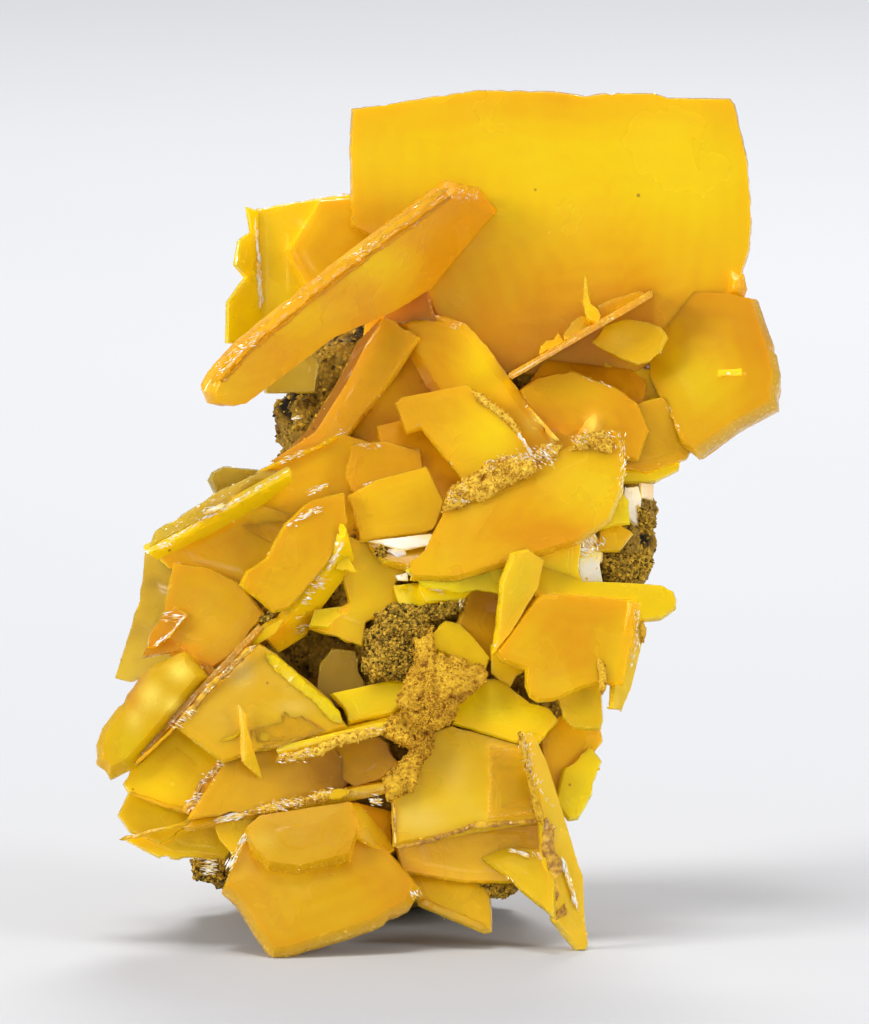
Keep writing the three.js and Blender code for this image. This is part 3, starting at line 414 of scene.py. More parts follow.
            [-9.4, 35.2], [-12.2, 35.5], [-13.6, 33.8]]),
    ],
    "lemon_plate": [
        facing(-0.6, 0, 0.4, 1.6, 0.4, [
            [-12.4, 30.2], [-10.7, 28.3], [-10.3, 26.8], [-5.4, 27.8], [-2.2, 30.4], [-4.4, 32]]),
    ],
    # Small tablets whose white is partly a painted glint, standing in for reflections.
    "glint_plates": [
        facing(3.6, 0.4, 0.1, 1.2, 0.25, [
            [21.2, 54.1], [20.7, 51.5], [21.5, 50.6], [23.2, 49], [23.1, 51], [23.3, 52.8],
            [22.9, 54.2]]),
        facing(4.6, 0.3, 0.1, 0.9, 0.2, [[23.1, 54.6], [23.3, 52.8], [24.7, 52.5], [24.8, 54.6]]),
        facing(1.2, 0.7, 0.2, 1.2, 0.25, [
            [15.7, 48.6], [16.4, 49.9], [17.2, 49.6], [18.8, 47], [18.6, 45.2], [16.4, 46.6]]),
        facing(0.5, 0.3, 0.2, 1, 0.2, [
            [15.8, 46.4], [16.2, 43.1], [18.9, 42.9], [18.5, 45], [18.8, 46.8]]),
        facing(0.3, 0, 0.4, 0.5, 0.12, [
            [-8.2, 47.8], [-0.8, 48.7], [0, 48.1], [-0.4, 47.4], [-3.8, 46.8]]),
        facing(0.2, 0.1, 0.4, 0.5, 0.12, [
            [-6.4, 46.9], [-3.9, 47], [-3, 45], [-3.7, 44.9], [-5.2, 46]]),
        facing(-0.4, 0.1, 0.4, 0.4, 0.1, [[-5, 43.9], [-3.5, 44.3], [-3.4, 43.3], [-4.6, 43.3]]),
    ],
    # The side that is turned away.
    "rear_crown_plates": [
        facing(21, -0.25, 0.35, 2.2, 0.6, [[0, 66], [20, 62], [29, 70], [27, 82], [10, 86], [-4, 76]]),
        facing(22, 0.5, -0.4, 1.6, 0.4, [[-8, 62], [6, 60], [10, 70], [2, 79], [-8, 74]]),
    ],
    "rear_left_plates": [
        facing(24, -0.8, 0.2, 1.8, 0.5, [
            [-24, 50], [-22, 32], [-12, 30], [-9, 48], [-13, 55], [-20, 55]]),
        facing(25, 0.9, 0.5, 1.4, 0.4, [[-18.6, 56.6], [-20, 47], [-10, 44], [-6, 52], [-12, 60]]),
    ],
    "rear_right_plates": [
        facing(24, 0.8, -0.1, 2, 0.6, [[6, 50], [4, 30], [14, 24], [19, 34], [20, 48], [12, 54]]),
        facing(25, -0.7, 0.6, 1.6, 0.4, [[2, 48], [4, 36], [15, 34], [19, 44], [11, 52]]),
    ],
    "rear_low_plates": [
        facing(26, 0.1, -0.5, 1.8, 0.5, [[-14, 34], [-16, 18], [-2, 14], [10, 20], [8, 32], [-3, 38]]),
        facing(24, 0.6, 0.7, 1.6, 0.5, [[-24, 26], [-20, 14], [-8, 16], [-9, 27], [-16, 31]]),
    ],
}
# What differs from piece to piece: how far the front bulges, the spacing of the points round the
# rim, how strongly the growth terraces step up, how much of its bevel a tablet keeps, and how deep
# the rim is nicked.
BULGES = {"top_plate": 0.7, "bottom_plate": 0.1}
FINE_STEPS = {"top_plate": 0.24, "long_blade": 0.24, "right_plate": 0.26, "bottom_plate": 0.26}
USUAL_TERRACE = 0.25
TERRACES = {"top_plate": 0.05, "long_blade": 0.12, "right_plate": 0.1, "pointed_plate": 0.12}
USUAL_BEVEL = 0.45
BEVELS = {"long_blade": 0.9, "left_block": 0.9, "bottom_plate": 0.6, "arched_plate": 1.5,
          "top_plate": 0.6, "right_plate": 0.4, "lower_shelf": 0.8, "upper_shelf": 0.8}
USUAL_WEAR = 0.45
WEAR = {"toe_plates": 0.9, "centre_plate": 0.6, "fin_plate": 0.8, "hook_plates": 0.8,
        "left_edge_blade": 0.9, "left_wing": 0.8, "spike_plates": 0.7, "top_plate": 0.3}

# What the single tablets of a piece add to its tone, in their order.
SHADES = {
    "right_plate": [0.0, 1.3], "centre_plate": [0.0, 0.6], "bottom_plate": [0.0, 0.1, 0.3, -0.4],
    "right_fan_plates": [-0.1, 0.3, 0.7, 0.3, 0.4, 0.4], "frosted_plate": [0.15, 1.8, -1.2],
    "white_plate": [-0.05, 0.1], "comb_blade": [0.2, 1.4], "crest_blade": [0.5, -0.2],
    "leaning_plate": [0.0, -0.4], "thin_shelf": [-0.4, 1.0, 0.6, 0.4, 0.9, 1.0],
    "saddle_plates": [0.0, -0.3, 0.4, 0.8], "hook_plates": [-0.5, 1.8, 0.8, -0.2],
    "upper_left_plates": [1.2], "rust_plate": [0.0, -0.3, -0.6, -0.5, 0.1],
    "toe_plates": [0.0, 0.1, -0.2], "lower_shelf": [0.0, 0.4], "niche_plate": [0.0, 0.0, -0.2],
    "heart_plate": [-0.1, 1.9, 0.6], "lip_plates": [0.5, 0.6],
    "glint_plates": [-0.1, -0.4, 0.1, 0.2, 0.2, 0.6, 0.6],
}

# How much the colour of the tablets of a piece is scaled, in their order, where that isn't 1:
# partly the crystals' own darkness, partly painted light and shade, raised for tablets that lie in
# shade and lowered for sheets that stand where there is only shade.
TINT_AND_PAINTED_LIGHT_LEVELS = {
    "top_plate": [0.89], "right_plate": [0.77], "centre_plate": [0.84, 1.1],
    "bottom_plate": [0.74, 0.7, 0.8, 0.88], "spike_plates": [0.96, 0.8],
    "right_fan_plates": [0.84, 0.88, 0.78, 0.78, 0.7, 0.8], "frosted_plate": [0.83, 0.8, 0.7],
    "left_block": [0.72], "white_plate": [0.86, 0.64], "roof_plate": [1.08], "knee_plate": [0.82],
    "crest_blade": [0.9, 0.6], "square_plate": [0.87], "pointed_plate": [0.98],
    "leaning_plate": [0.84, 0.42], "thin_shelf": [0.8, 0.7, 0.64, 0.68, 0.8, 0.76],
    "leaf_tablet": [0.82], "saddle_plates": [0.8, 0.76, 0.74, 1.4],
    "hook_plates": [0.86, 0.9, 1.05, 1.05], "upper_left_plates": [0.95],
    "left_edge_blade": [0.9], "pale_tablet": [0.7], "recess_plate": [1.25, 0.6],
    "orange_tablet": [0.8], "nest_plate": [1.1], "back_knob": [0.66], "slope_plate": [1.3],
    "rust_plate": [0.84, 0.75, 0.65, 0.7, 0.85], "left_wing": [0.84], "apron_plate": [1.06],
    "toe_plates": [0.84, 1.05, 1.1], "lower_shelf": [0.9, 0.75], "niche_plate": [0.9, 0.9, 0.76],
    "amber_plate": [0.9], "keel_plate": [1.08], "cheek_plate": [1.1], "fin_plate": [1.2],
    "heart_plate": [1.08, 0.85], "lip_plates": [0.98, 0.95, 1.3], "facet_plate": [0.75],
    "umber_plate": [1.1], "dome_plate": [0.92], "glint_plates": [0.95, 0.85, 1, 1.3, 0.9],
    "rear_low_plates": [0.85],
}

# Clouds added to a tablet's tone: brighter and more lemon where the strength is positive, duller
# and more orange where it is negative: x, z, reach across, reach up, and strength. Partly the
# crystals' own colour, partly painted light and shade: a painted glow on the bright parts of the
# plates, and painted shade low on the plates, behind others and in recesses.
TONE_AND_PAINTED_LIGHT_CLOUDS = {
    "top_plate": [
        [14, 91, 17, 6, 0.55], [31, 87, 7, 8, 0.4], [-2, 91, 8, 5, 0.35],
        [10, 99, 12, 3, -0.25], [8, 72, 14, 8, -0.5], [25, 73, 12, 6, -0.6],
        [-9, 82, 5, 7, -0.2],
    ],
    "long_blade": [[-24, 66, 4, 4, 0.4], [-15, 73.4, 5, 2, 0.6], [-7, 79.6, 5, 2.4, 0.7],
                   [1, 79, 4, 4, -0.45], [4, 86.6, 2.6, 2.4, -0.5], [-10, 73, 7, 1.4, -0.3]],
    "right_plate": [[27, 76, 6, 4, -0.3], [30, 66, 5, 4, 0.9], [37, 73, 3, 5, -0.3]],
    "upper_left_plates": [[-18, 86, 3.6, 3, 1.4], [-19, 77, 3, 5, 0.3]],
    "arched_plate": [[5, 68, 3, 5, 1.0]], "recess_plate": [[-3, 75.4, 4, 2.4, -1.6]],
    "saddle_plates": [[14.5, 65.6, 4, 1.7, 0.4], [12.6, 61, 2.6, 2.6, -0.7], [22, 61, 2.2, 4, -0.4]],
    "pointed_plate": [[6.5, 60, 4, 5, 1.1], [-3, 62, 2.4, 2, -0.3]],
    "centre_plate": [[18, 54, 5, 4, 0.7], [-1, 45, 3, 2.5, 0.3], [13.5, 48.2, 3, 1.4, -0.8],
                     [9, 49, 5, 2, -0.2]],
    "bottom_plate": [[-13, 7, 6, 4, 0.2], [-15, 14, 5, 3, -0.2], [-6, 8, 3, 3, -0.05]],
    "left_block": [[-34.6, 31, 1.2, 3, -0.9], [-35, 25, 2.4, 2.4, 0.5]],
    "right_fan_plates": [[15, 37, 4, 4, -0.15], [21, 34, 2, 5, 0.4], [10, 36, 2, 4, 0.2],
                         [14, 31, 4, 1.6, 0.3], [8, 44, 2, 4, 0.4], [18, 42.4, 7, 1, 0.3],
                         [25, 40.6, 3, 2, 0.3]],
    "umber_plate": [[5.5, 40.6, 3, 2, -0.9], [5.6, 36, 2, 2, 0.6]],
    "roof_plate": [[8, 28.6, 5, 1.6, 0.3]],
    "rust_plate": [[-24, 40, 4, 4, 0.2]], "niche_plate": [[-12, 21.5, 5, 3, -0.9]],
    "amber_plate": [[-8.5, 21, 3, 2, 0.3], [-5.4, 24.6, 2, 1.6, -0.6]],
    "comb_blade": [[-10.6, 46.4, 1.6, 2.5, 0.7], [-18.4, 37.4, 2.6, 2, -0.7]],
    "left_wing": [[-32.7, 43, 1.2, 0.8, -0.5], [-34.3, 37.5, 1.4, 1, -0.4], [-36, 33, 1, 1.6, 0.5]],
}

# Milky clouds, given in the same way: partly the crystals' own milkiness, partly painted glints,
# white patches that stand in for reflections on the glint plates and the arched plate's rim.
MILK_AND_PAINTED_GLINTS = {
    "frosted_plate": [[-22.6, 32.9, 1.6, 1.6, 0.5], [-16.6, 28.9, 2, 0.9, 0.25],
                      [-25, 28, 4, 3, 0.1]],
    "left_block": [[-29.6, 33, 1.3, 1.2, 1.1], [-33, 30.2, 1.4, 1.6, 0.9], [-30.4, 29, 1, 1, 0.8],
                   [-34.8, 27.5, 1, 1.4, 0.6]],
    "white_plate": [[-2, 16, 3, 1.6, 0.3], [-3.5, 21, 1.4, 3, 0.15], [2, 21, 1.6, 2.6, 0.15]],
    "bottom_plate": [[-20, 13.6, 1.4, 1, 0.3]],
    "leaf_tablet": [[21, 71, 1.6, 1.2, 0.25]],
    "glint_plates": [[22.6, 52, 3, 4, 0.9], [17.6, 44.4, 2, 1.6, 1.4], [16.6, 47.4, 0.6, 0.8, 0.4],
                     [-3.5, 47.6, 4, 1, 1.4], [-4.6, 46.2, 1.4, 1, 1.2], [-4.2, 43.8, 1, 0.6, 1.3]],
    "saddle_plates": [[17.8, 61.2, 0.8, 1.2, 1.0]],
    "arched_plate": [[11.6, 61.8, 1.4, 1.4, 1.0], [13.4, 59.6, 0.8, 0.8, 1.2]],
    "upper_left_plates": [[-15.8, 84.5, 0.5, 0.5, 0.6]],
}

# The tone that the bevels and rims add to a piece: mostly lighter, a painted highlight that keeps
# the bevels, which face away from the light, lemon rather than orange.
USUAL_EDGE_TONE = 0.4
EDGE_TONES = {"long_blade": 0.0, "top_plate": 0.0, "bottom_plate": 0.3, "arched_plate": 0.0,
              "left_block": 0.1}

# Each kind of crystal, with its pieces and their tone from orange (below 0) to lemon (above 0).
KINDS = {
    "window_crystal": {"top_plate": 0.2, "right_plate": -0.1, "arched_plate": -0.3},
    "golden_crystal": {
        "long_blade": -0.3, "centre_plate": -0.1, "bottom_plate": -0.15, "left_block": 0.2,
        "roof_plate": 0.45, "knee_plate": -0.15, "square_plate": 0.0, "thin_shelf": -0.2,
        "upper_left_plates": 0.0, "slope_plate": -0.2, "apron_plate": 0.4, "crest_plate": 0.0,
        "toe_plates": 0.6, "lower_shelf": 0.1, "upper_shelf": 0.5,
        "under_plate": 0.0, "cheek_plate": 0.0, "dome_plate": 0.4, "rust_plate": -0.1,
        "crest_blade": 0.8, "rear_crown_plates": 0.1, "rear_left_plates": 0.0,
        "rear_right_plates": 0.0, "rear_low_plates": 0.1, "right_fan_plates": 0.0,
        "comb_blade": 0.2, "facet_plate": 0.0,
    },
    "lemon_crystal": {
        "pointed_plate": -0.5, "lemon_plate": 0.6, "heart_plate": 0.1, "lip_plates": 0.3,
        "keel_plate": -0.1, "spike_plates": 0.3, "fin_plate": 0.3, "leaf_tablet": 0.2,
        "left_edge_blade": 0.7, "hook_plates": 0.1,
    },
    "frosted_crystal": {"frosted_plate": 0.0, "white_plate": 0.4},
    "white_and_glint_crystal": {"glint_plates": 0.3},
    "orange_crystal": {
        "recess_plate": 0.2, "nest_plate": 0.2, "saddle_plates": 0.5, "leaning_plate": 0.3,
        "orange_tablet": 0.35,
    },
    "olive_crystal": {
        "olive_tablet": -0.6, "pale_tablet": 0.2, "left_wing": 0.5, "back_knob": 0.3,
    },
    "brown_crystal": {"niche_plate": 0.8, "amber_plate": 0.5, "umber_plate": 0.4},
}


# ---- random fields ----
TABLE_SIZE = 32
LATTICE = (TABLE_SIZE, TABLE_SIZE, TABLE_SIZE)
TABLE = np.random.default_rng(11).uniform(-1, 1, LATTICE)
OFFSETS = np.random.default_rng(12).uniform(0, 1, (*LATTICE, 3))


def smooth_noise(points, pitch):
    """Value noise: random numbers on a lattice of the given pitch, blended between corners."""
    scaled = points / pitch
    cell = np.floor(scaled).astype(int)
    share = scaled - cell
    share = share * share * (3 - 2 * share)
    total = np.zeros(points.shape[:-1])
    for corner in np.ndindex(2, 2, 2):
        index = (cell + corner) % TABLE_SIZE
        weight = np.prod(np.where(corner, share, 1 - share), axis=-1)
        total += weight * TABLE[index[..., 0], index[..., 1], index[..., 2]]
    return total


def layered_noise(points, pitch, layers):
    """Value noise summed over layers, each with half the pitch and half the height."""
    return sum(smooth_noise(points, pitch / 2**k) / 2**k for k in range(layers))


def grain_distance(points, pitch):
    """Cellular noise: distance to the nearest of one random point per lattice cell, in pitches."""
    scaled = points / pitch
    cell = np.floor(scaled).astype(int)
    nearest = np.full(points.shape[:-1], 9.0)
    for step in np.ndindex(3, 3, 3):
        other = cell + np.array(step) - 1
        index = other % TABLE_SIZE
        seed = other + OFFSETS[index[..., 0], index[..., 1], index[..., 2]]
        nearest = np.minimum(nearest, np.linalg.norm(scaled - seed, axis=-1))
    return nearest


# ---- closed grids ----
def closed_grid(rows, columns):
    """Faces of a closed grid whose first and last row are single points, and which wraps round.

    The points are numbered first pole, then row by row, then last pole.
    """
    column = np.arange(columns)
    following = (column + 1) % columns
    first = 1 + np.arange(rows - 1)[:, None] * columns
    quads = np.stack(
        [first + column, first + columns + column, first + columns + following, first + following],
        axis=-1,
    ).reshape(-1, 4)
    last_row = 1 + (rows - 1) * columns
    pole = np.full(columns, 0)
    far_pole = np.full(columns, 1 + rows * columns)
    caps = np.concatenate([
        np.stack([pole, 1 + column, 1 + following], axis=-1),
        np.stack([far_pole, last_row + following, last_row + column], axis=-1),
    ])
    return quads, caps


def capped(first, grid, last, **values):
    """A closed part from a grid of points between two single end points.

    A value comes as its number at the first point, its numbers over the grid, and its number at
    the last point.
    """
    points = np.concatenate([np.reshape(piece, (-1, 3)) for piece in (first, grid, last)])
    joined = {key: np.concatenate([np.ravel(piece) for piece in pieces])
              for key, pieces in values.items()}
    return {"points": points, "faces": list(closed_grid(*grid.shape[:2])), "values": joined}


def merged(parts):
    """Several parts as one: points and values in a row, faces renumbered to match."""
    starts = np.cumsum([0] + [len(part["points"]) for part in parts[:-1]])
    return {
        "points": np.concatenate([part["points"] for part in parts]),
        "faces": [face + start for part, start in zip(parts, starts) for face in part["faces"]],
        "values": {key: np.concatenate([part["values"][key] for part in parts])
                   for key in parts[0]["values"]},
    }


def make_piece(name, part, material, sharp=SHARP_ANGLE):
    """A mesh object with the part's points, faces and point attributes, at the origin."""
    mesh = bpy.data.meshes.new(name)
    sizes = np.concatenate([np.full(len(face), face.shape[1]) for face in part["faces"]])
    corners = np.concatenate([face.ravel() for face in part["faces"]])
    mesh.vertices.add(len(part["points"]))
    mesh.vertices.foreach_set("co", to_specimen(part["points"]).ravel())
    mesh.loops.add(len(corners))
    mesh.loops.foreach_set("vertex_index", corners.astype(np.int32))
    mesh.polygons.add(len(sizes))
    mesh.polygons.foreach_set("loop_start", (np.cumsum(sizes) - sizes).astype(np.int32))
    mesh.update(calc_edges=True)
    mesh.validate()
    for key, values in part["values"].items():
        mesh.attributes.new(key, "FLOAT", "POINT").data.foreach_set("value", values)
    mesh.shade_smooth()
    mesh.set_sharp_from_angle(angle=sharp)
    mesh.materials.append(material)
    piece = bpy.data.objects.new(name, mesh)
    bpy.context.collection.objects.link(piece)
    return piece


# ---- tablets ----
COLUMN_STEP = 0.32  # spacing of the points round a tablet's rim
ROW_STEP = 0.75  # spacing of the rows across a tablet's face
TERRACE_SPACING = 4  # how far apart the growth terraces are
TERRACE_STEP = 0.004  # half of the way over which a terrace steps, as a share of the way out
TERRACE_WOBBLE, TERRACE_RISES = 0.012, (0.03, 0.09)
FACE_SWELLS = ((0.07, 5.0), (0.015, 1.1))  # height and pitch of the waves of a face
BEVEL_INSETS = np.array([0.86, 0.6, 0.34, 0.1])  # the rows down the bevel, in bevels
BEVEL_HEIGHTS = 0.22 + 0.78 * BEVEL_INSETS  # the same rows in half thicknesses
RIM_HEIGHTS = np.array([0.16, 0.0, -0.16])
CHIP_SPACING, FINE_CHIP_SPACING, FINE_CHIP = 9, 2, 0.1  # large and fine nicks, and the fine depth
LEDGE_SPACING, LEDGE = 3.5, 0.05  # stretches of the rim that stand out or in, and how far
CHISEL_SPACING, CHISEL = 0.9, 0.1  # stretches of a bevel's row, and how far they jump, in bevels
HEART_GRID = 41  # points a side of the grid in which the heart of an outline is looked for
# The squares over which the depth around a point is averaged: their side, how many there are a
# side, how many are averaged each way, the margin, and the depth that counts as a full recess.
RECESS_CELL, RECESS_CELLS, RECESS_SPREAD, RECESS_MARGIN, RECESS_DEPTH = 1.5, 80, 4, 6, 7


def tablet_plane(rim):
    """A tablet's middle, two directions in its plane, its normal towards the viewer, and its
    corners in that plane, in order so that the inside lies to the left."""
    centre = rim.mean(axis=0)
    spokes = rim - centre
    normal = np.cross(spokes, np.roll(spokes, -1, axis=0)).sum(axis=0)
    normal /= np.linalg.norm(normal)
    if normal @ (0.0, 1.0, -0.3) > 0:
        return tablet_plane(rim[::-1])
    along = np.cross((0.0, 0.0, 1.0), normal)
    along /= np.linalg.norm(along)
    across = np.cross(normal, along)
    return centre, along, across, normal, np.stack([spokes @ along, spokes @ across], axis=-1)


def in_space(flat, centre, along, across):
    """Points of a tablet's plane carried into space."""
    return flat[..., :1] * along + flat[..., 1:] * across + centre


def heart_of(corners, inward):
    """The point that sees every side: of a grid over the outline, the one whose least distance
    inside the lines of the sides is greatest."""
    low, high = corners.min(axis=0), corners.max(axis=0)
    share = np.linspace(0, 1, HEART_GRID)
    grid = np.stack(np.meshgrid(share, share), axis=-1).reshape(-1, 2) * (high - low) + low
    inside = ((grid[:, None] - corners) * inward).sum(axis=-1)
    return grid[inside.min(axis=1).argmax()]


def sides_of(corners):
    """The length of each side of an outline, and the unit vector from it to the inside."""
    side = np.roll(corners, -1, axis=0) - corners
    length = np.linalg.norm(side, axis=1)
    return length, np.stack([-side[:, 1], side[:, 0]], axis=-1) / length[:, None]


def walk_round(length, step, fewest):
    """Evenly spaced points round an outline: the side of each, and its share of the way along."""
    count = np.maximum(fewest, np.round(length / step)).astype(int)
    edge = np.repeat(np.arange(len(length)), count)
    passed = np.arange(count.sum()) - np.repeat(np.cumsum(count) - count, count)
    return edge, (passed / count[edge])[:, None]


def along_sides(values, edge, share):
    """Values of the corners, blended evenly along the sides."""
    return values[edge] * (1 - share) + np.roll(values, -1, axis=0)[edge] * share


def steps_along(place, total, spacing, rng):
    """A random value that holds for a stretch of the rim and then jumps, from -1 to 1."""
    count = max(4, int(total / spacing))
    breaks = np.sort(rng.uniform(0, total, count))
    return rng.uniform(-1, 1, count)[np.searchsorted(breaks, place) % count]


def chips_along(place, total, spacing, deepest, rng):
    """Small nicks in the rim: each falls off evenly from its place over its width."""
    count = max(2, int(total / spacing))
    where, width = rng.uniform(0, total, count), rng.uniform(0.3, 1.5, count)
    depth = deepest * rng.uniform(0.2, 1, count) ** 2
    apart = np.abs((place[:, None] - where + total / 2) % total - total / 2)
    return (depth * np.clip(1.3 * (1 - apart / width), 0, 1)).max(axis=1)


def tablet_rows(radius, rng):
    """The rows from the heart of the front, over the rim, to the heart of the rear face.

    Gives each row's share of the way out, its inset in bevels, its height in half thicknesses and
    whether it is on the front, and the shares at which the growth terraces step, where the front
    has a close pair of rows.
    """
    plain = np.linspace(0, 1, max(7, int(radius / ROW_STEP)))[1:]
    terraces = np.sort(rng.uniform(0.35, 0.97, max(2, int(radius / TERRACE_SPACING))))
    pairs = np.concatenate([terraces - TERRACE_STEP, terraces + TERRACE_STEP]).clip(0, 1)
    apart = np.abs(plain[:, None] - terraces).min(axis=1)
    front = np.unique(np.concatenate([plain[(apart > 3 * TERRACE_STEP) | (plain == 1)], pairs]))
    rear = np.linspace(1, 0, max(5, int(radius / ROW_STEP / 2)))[:-1]
    share = np.concatenate([front, np.ones(2 * len(BEVEL_INSETS) + len(RIM_HEIGHTS)), rear])
    inset = np.concatenate([np.ones(len(front)), BEVEL_INSETS, 0 * RIM_HEIGHTS,
                            BEVEL_INSETS[::-1], np.ones(len(rear))])
    height = np.concatenate([np.ones(len(front)), BEVEL_HEIGHTS, RIM_HEIGHTS,
                             -BEVEL_HEIGHTS[::-1], -np.ones(len(rear))])
    on_front = np.arange(len(share)) < len(front)
    return share[:, None], inset[:, None], height[:, None], on_front[:, None], terraces


def tablet_surface(tablet, rng, step, bulge, terrace, wear, sharpness):
    """A tablet as a closed surface over two parameters.

    One runs round the rim. The other runs from the heart of the front face out over growth
    terraces, down a stepped bevel, over a narrow rim, and back to the heart of the rear face. A
    point is the rim point moved in by its inset along the mitre, then drawn towards the heart by
    its share, then raised by its height along the normal.
    """
    centre, along, across, normal, corners = tablet_plane(tablet["rim"])
    half, bevel = tablet["thickness"] / 2, tablet["bevel"] * sharpness
    length, inward = sides_of(corners)
    before = np.roll(inward, 1, axis=0)
    mitre = (before + inward) / (1 + (before * inward).sum(axis=-1, keepdims=True))
    edge, along_side = walk_round(length, step, 1)
    rim, lean = along_sides(corners, edge, along_side), along_sides(mitre, edge, along_side)
    place = (np.cumsum(length) - length)[edge] + along_side[:, 0] * length[edge]
    total = length.sum()
    turn = place / total * 2 * np.pi
    heart = heart_of(corners + mitre * bevel, inward)
    radius = np.linalg.norm(corners - heart, axis=1).mean()
    chips = (chips_along(place, total, CHIP_SPACING, wear, rng)
             + chips_along(place, total, FINE_CHIP_SPACING, FINE_CHIP, rng))
    ledges = steps_along(place, total, LEDGE_SPACING, rng)
    share, row_inset, row_height, on_front, terraces = tablet_rows(radius, rng)
    on_edge = 1 - row_inset

    # Insets from the rim, with nicks, ledges and a bevel that looks chiselled.
    chisel = np.zeros((len(share), len(edge)))
    for row in np.flatnonzero((on_edge > 0.05) & (on_edge < 0.95)):
        chisel[row] = steps_along(place, total, CHISEL_SPACING, rng)
    inset = row_inset * bevel + chips * (0.35 + 0.65 * on_edge)
    inset = inset + bevel * CHISEL * chisel + LEDGE * ledges * on_edge
    flat = rim + lean * inset[..., None]
    wobble = TERRACE_WOBBLE * np.sin(3 * turn + rng.uniform(0, 6))
    drawn = share + wobble * (on_front & (share > 0.3) & (share < 1))
    flat = heart + (flat - heart) * np.clip(drawn, 0, 1)[..., None]

    # Heights: terraces that fade round the rim, the bulge, and a soft swell on both faces.
    steps = terrace * rng.uniform(*TERRACE_RISES, len(terraces))
    lift = (steps * (share < terraces)).sum(axis=1, keepdims=True) - steps.sum() * 0.5
    fade = 0.5 + 0.5 * np.sin(turn + rng.uniform(0, 6))
    height = row_height * half + on_front * lift * (0.4 + 0.6 * fade)
    height = height + on_front * bulge * (1 - share**2)
    position = in_space(flat, centre, along, across)
    swell = sum(rise * smooth_noise(position, pitch) for rise, pitch in FACE_SWELLS)
    height = height + np.sign(row_height) * swell * (on_edge < 0.01)
    height = height + 0.05 * half * np.roll(chisel, 3, axis=1)

    first, last = (in_space(heart, centre, along, across) + normal * height[row].mean()
                   for row in (0, -1))
    reach = -((rim + lean * bevel - heart) * inward[edge]).sum(axis=-1)
    zone = row_inset * bevel + reach * (1 - share)
    bevelled = (on_edge > 0.05) * np.ones(len(edge))
    return capped(first, position + normal * height[..., None], last,
                  zone=(zone[0].max(), zone, zone[-1].max()), tone=(0, bevelled, 0))


def clouds(rows, x, z):
    """The sum of soft clouds: each a bell curve of the distance from its middle in each direction,
    times its strength."""
    return sum((strength * np.exp(-((x - middle_x) / across) ** 2 - ((z - middle_z) / up) ** 2)
                for middle_x, middle_z, across, up, strength in rows), np.zeros(len(x)))


def grow_crystals():
    """Every crystal of the list as one part, its tablets merged, each with its own seed."""
    tones = {name: tone for pieces in KINDS.values() for name, tone in pieces.items()}
    parts = {}
    for number, (name, tablets) in enumerate(CRYSTALS.items()):
        rng = np.random.default_rng(FIRST_CRYSTAL_SEED + number)
        grown = [
            tablet_surface(tablet, rng, FINE_STEPS.get(name, COLUMN_STEP), BULGES.get(name, 0.0),
                           TERRACES.get(name, USUAL_TERRACE), WEAR.get(name, USUAL_WEAR),
                           BEVELS.get(name, USUAL_BEVEL))
            for tablet in tablets
        ]
        shades = SHADES.get(name, []) + [0.0] * len(grown)
        levels = TINT_AND_PAINTED_LIGHT_LEVELS.get(name, []) + [1.0] * len(grown)
        for part, shade, level in zip(grown, shades, levels):
            values = part["values"]
            x, _, z = part["points"].T
            own = tones[name] + shade + rng.uniform(-0.08, 0.08)
            # The level scales the colour, partly as painted light and shade.
            values["level"] = np.full(len(x), level)
            # The tone takes the bevels' tone, partly a painted highlight, and clouds of painted glow
            # and shade.
            values["tone"] = (values["tone"] * EDGE_TONES.get(name, USUAL_EDGE_TONE) + own
                              + clouds(TONE_AND_PAINTED_LIGHT_CLOUDS.get(name, []), x, z))
            # Milk: the crystals' milky clouds, partly painted glints.
            values["milk"] = clouds(MILK_AND_PAINTED_GLINTS.get(name, []), x, z)
        parts[name] = merged(grown)
    return parts


def add_painted_recess_shade(parts):
    """Gives every point its recess: how far it lies behind the parts around it.

    The nearest depth is kept for each square of the face, and averaged over the squares around
    it. A point's recess is the way that it lies behind this average, from 0 to 1. It draws the
    colour towards the deep colour, as painted shade in the recesses.
    """
    points = np.concatenate([part["points"] for part in parts])
    corner = points.min(axis=0) - RECESS_MARGIN

    def square(places):
        across = ((places[:, [0, 2]] - corner[[0, 2]]) / RECESS_CELL).astype(int)
        return tuple(across.clip(0, RECESS_CELLS - 1).T)

    def averaged(field):
        known = np.isfinite(field)
        total, weight = np.zeros(field.shape), np.full(field.shape, 1e-6)
        for step in np.ndindex(2 * RECESS_SPREAD + 1, 2 * RECESS_SPREAD + 1):
            shift = tuple(np.array(step) - RECESS_SPREAD)
            total += np.roll(np.where(known, field, 0), shift, (0, 1))
            weight += np.roll(known.astype(float), shift, (0, 1))
        return total / weight

    front, back = (np.full((RECESS_CELLS, RECESS_CELLS), far) for far in (np.inf, -np.inf))
    np.minimum.at(front, square(points), points[:, 1])
    np.maximum.at(back, square(points), points[:, 1])
    front, back = averaged(front), averaged(back)
    for part in parts:
        where, depth = square(part["points"]), part["points"][:, 1]
        behind = np.minimum(depth - front[where], back[where] - depth)
        part["values"]["recess"] = np.clip(behind / RECESS_DEPTH, 0, 1)


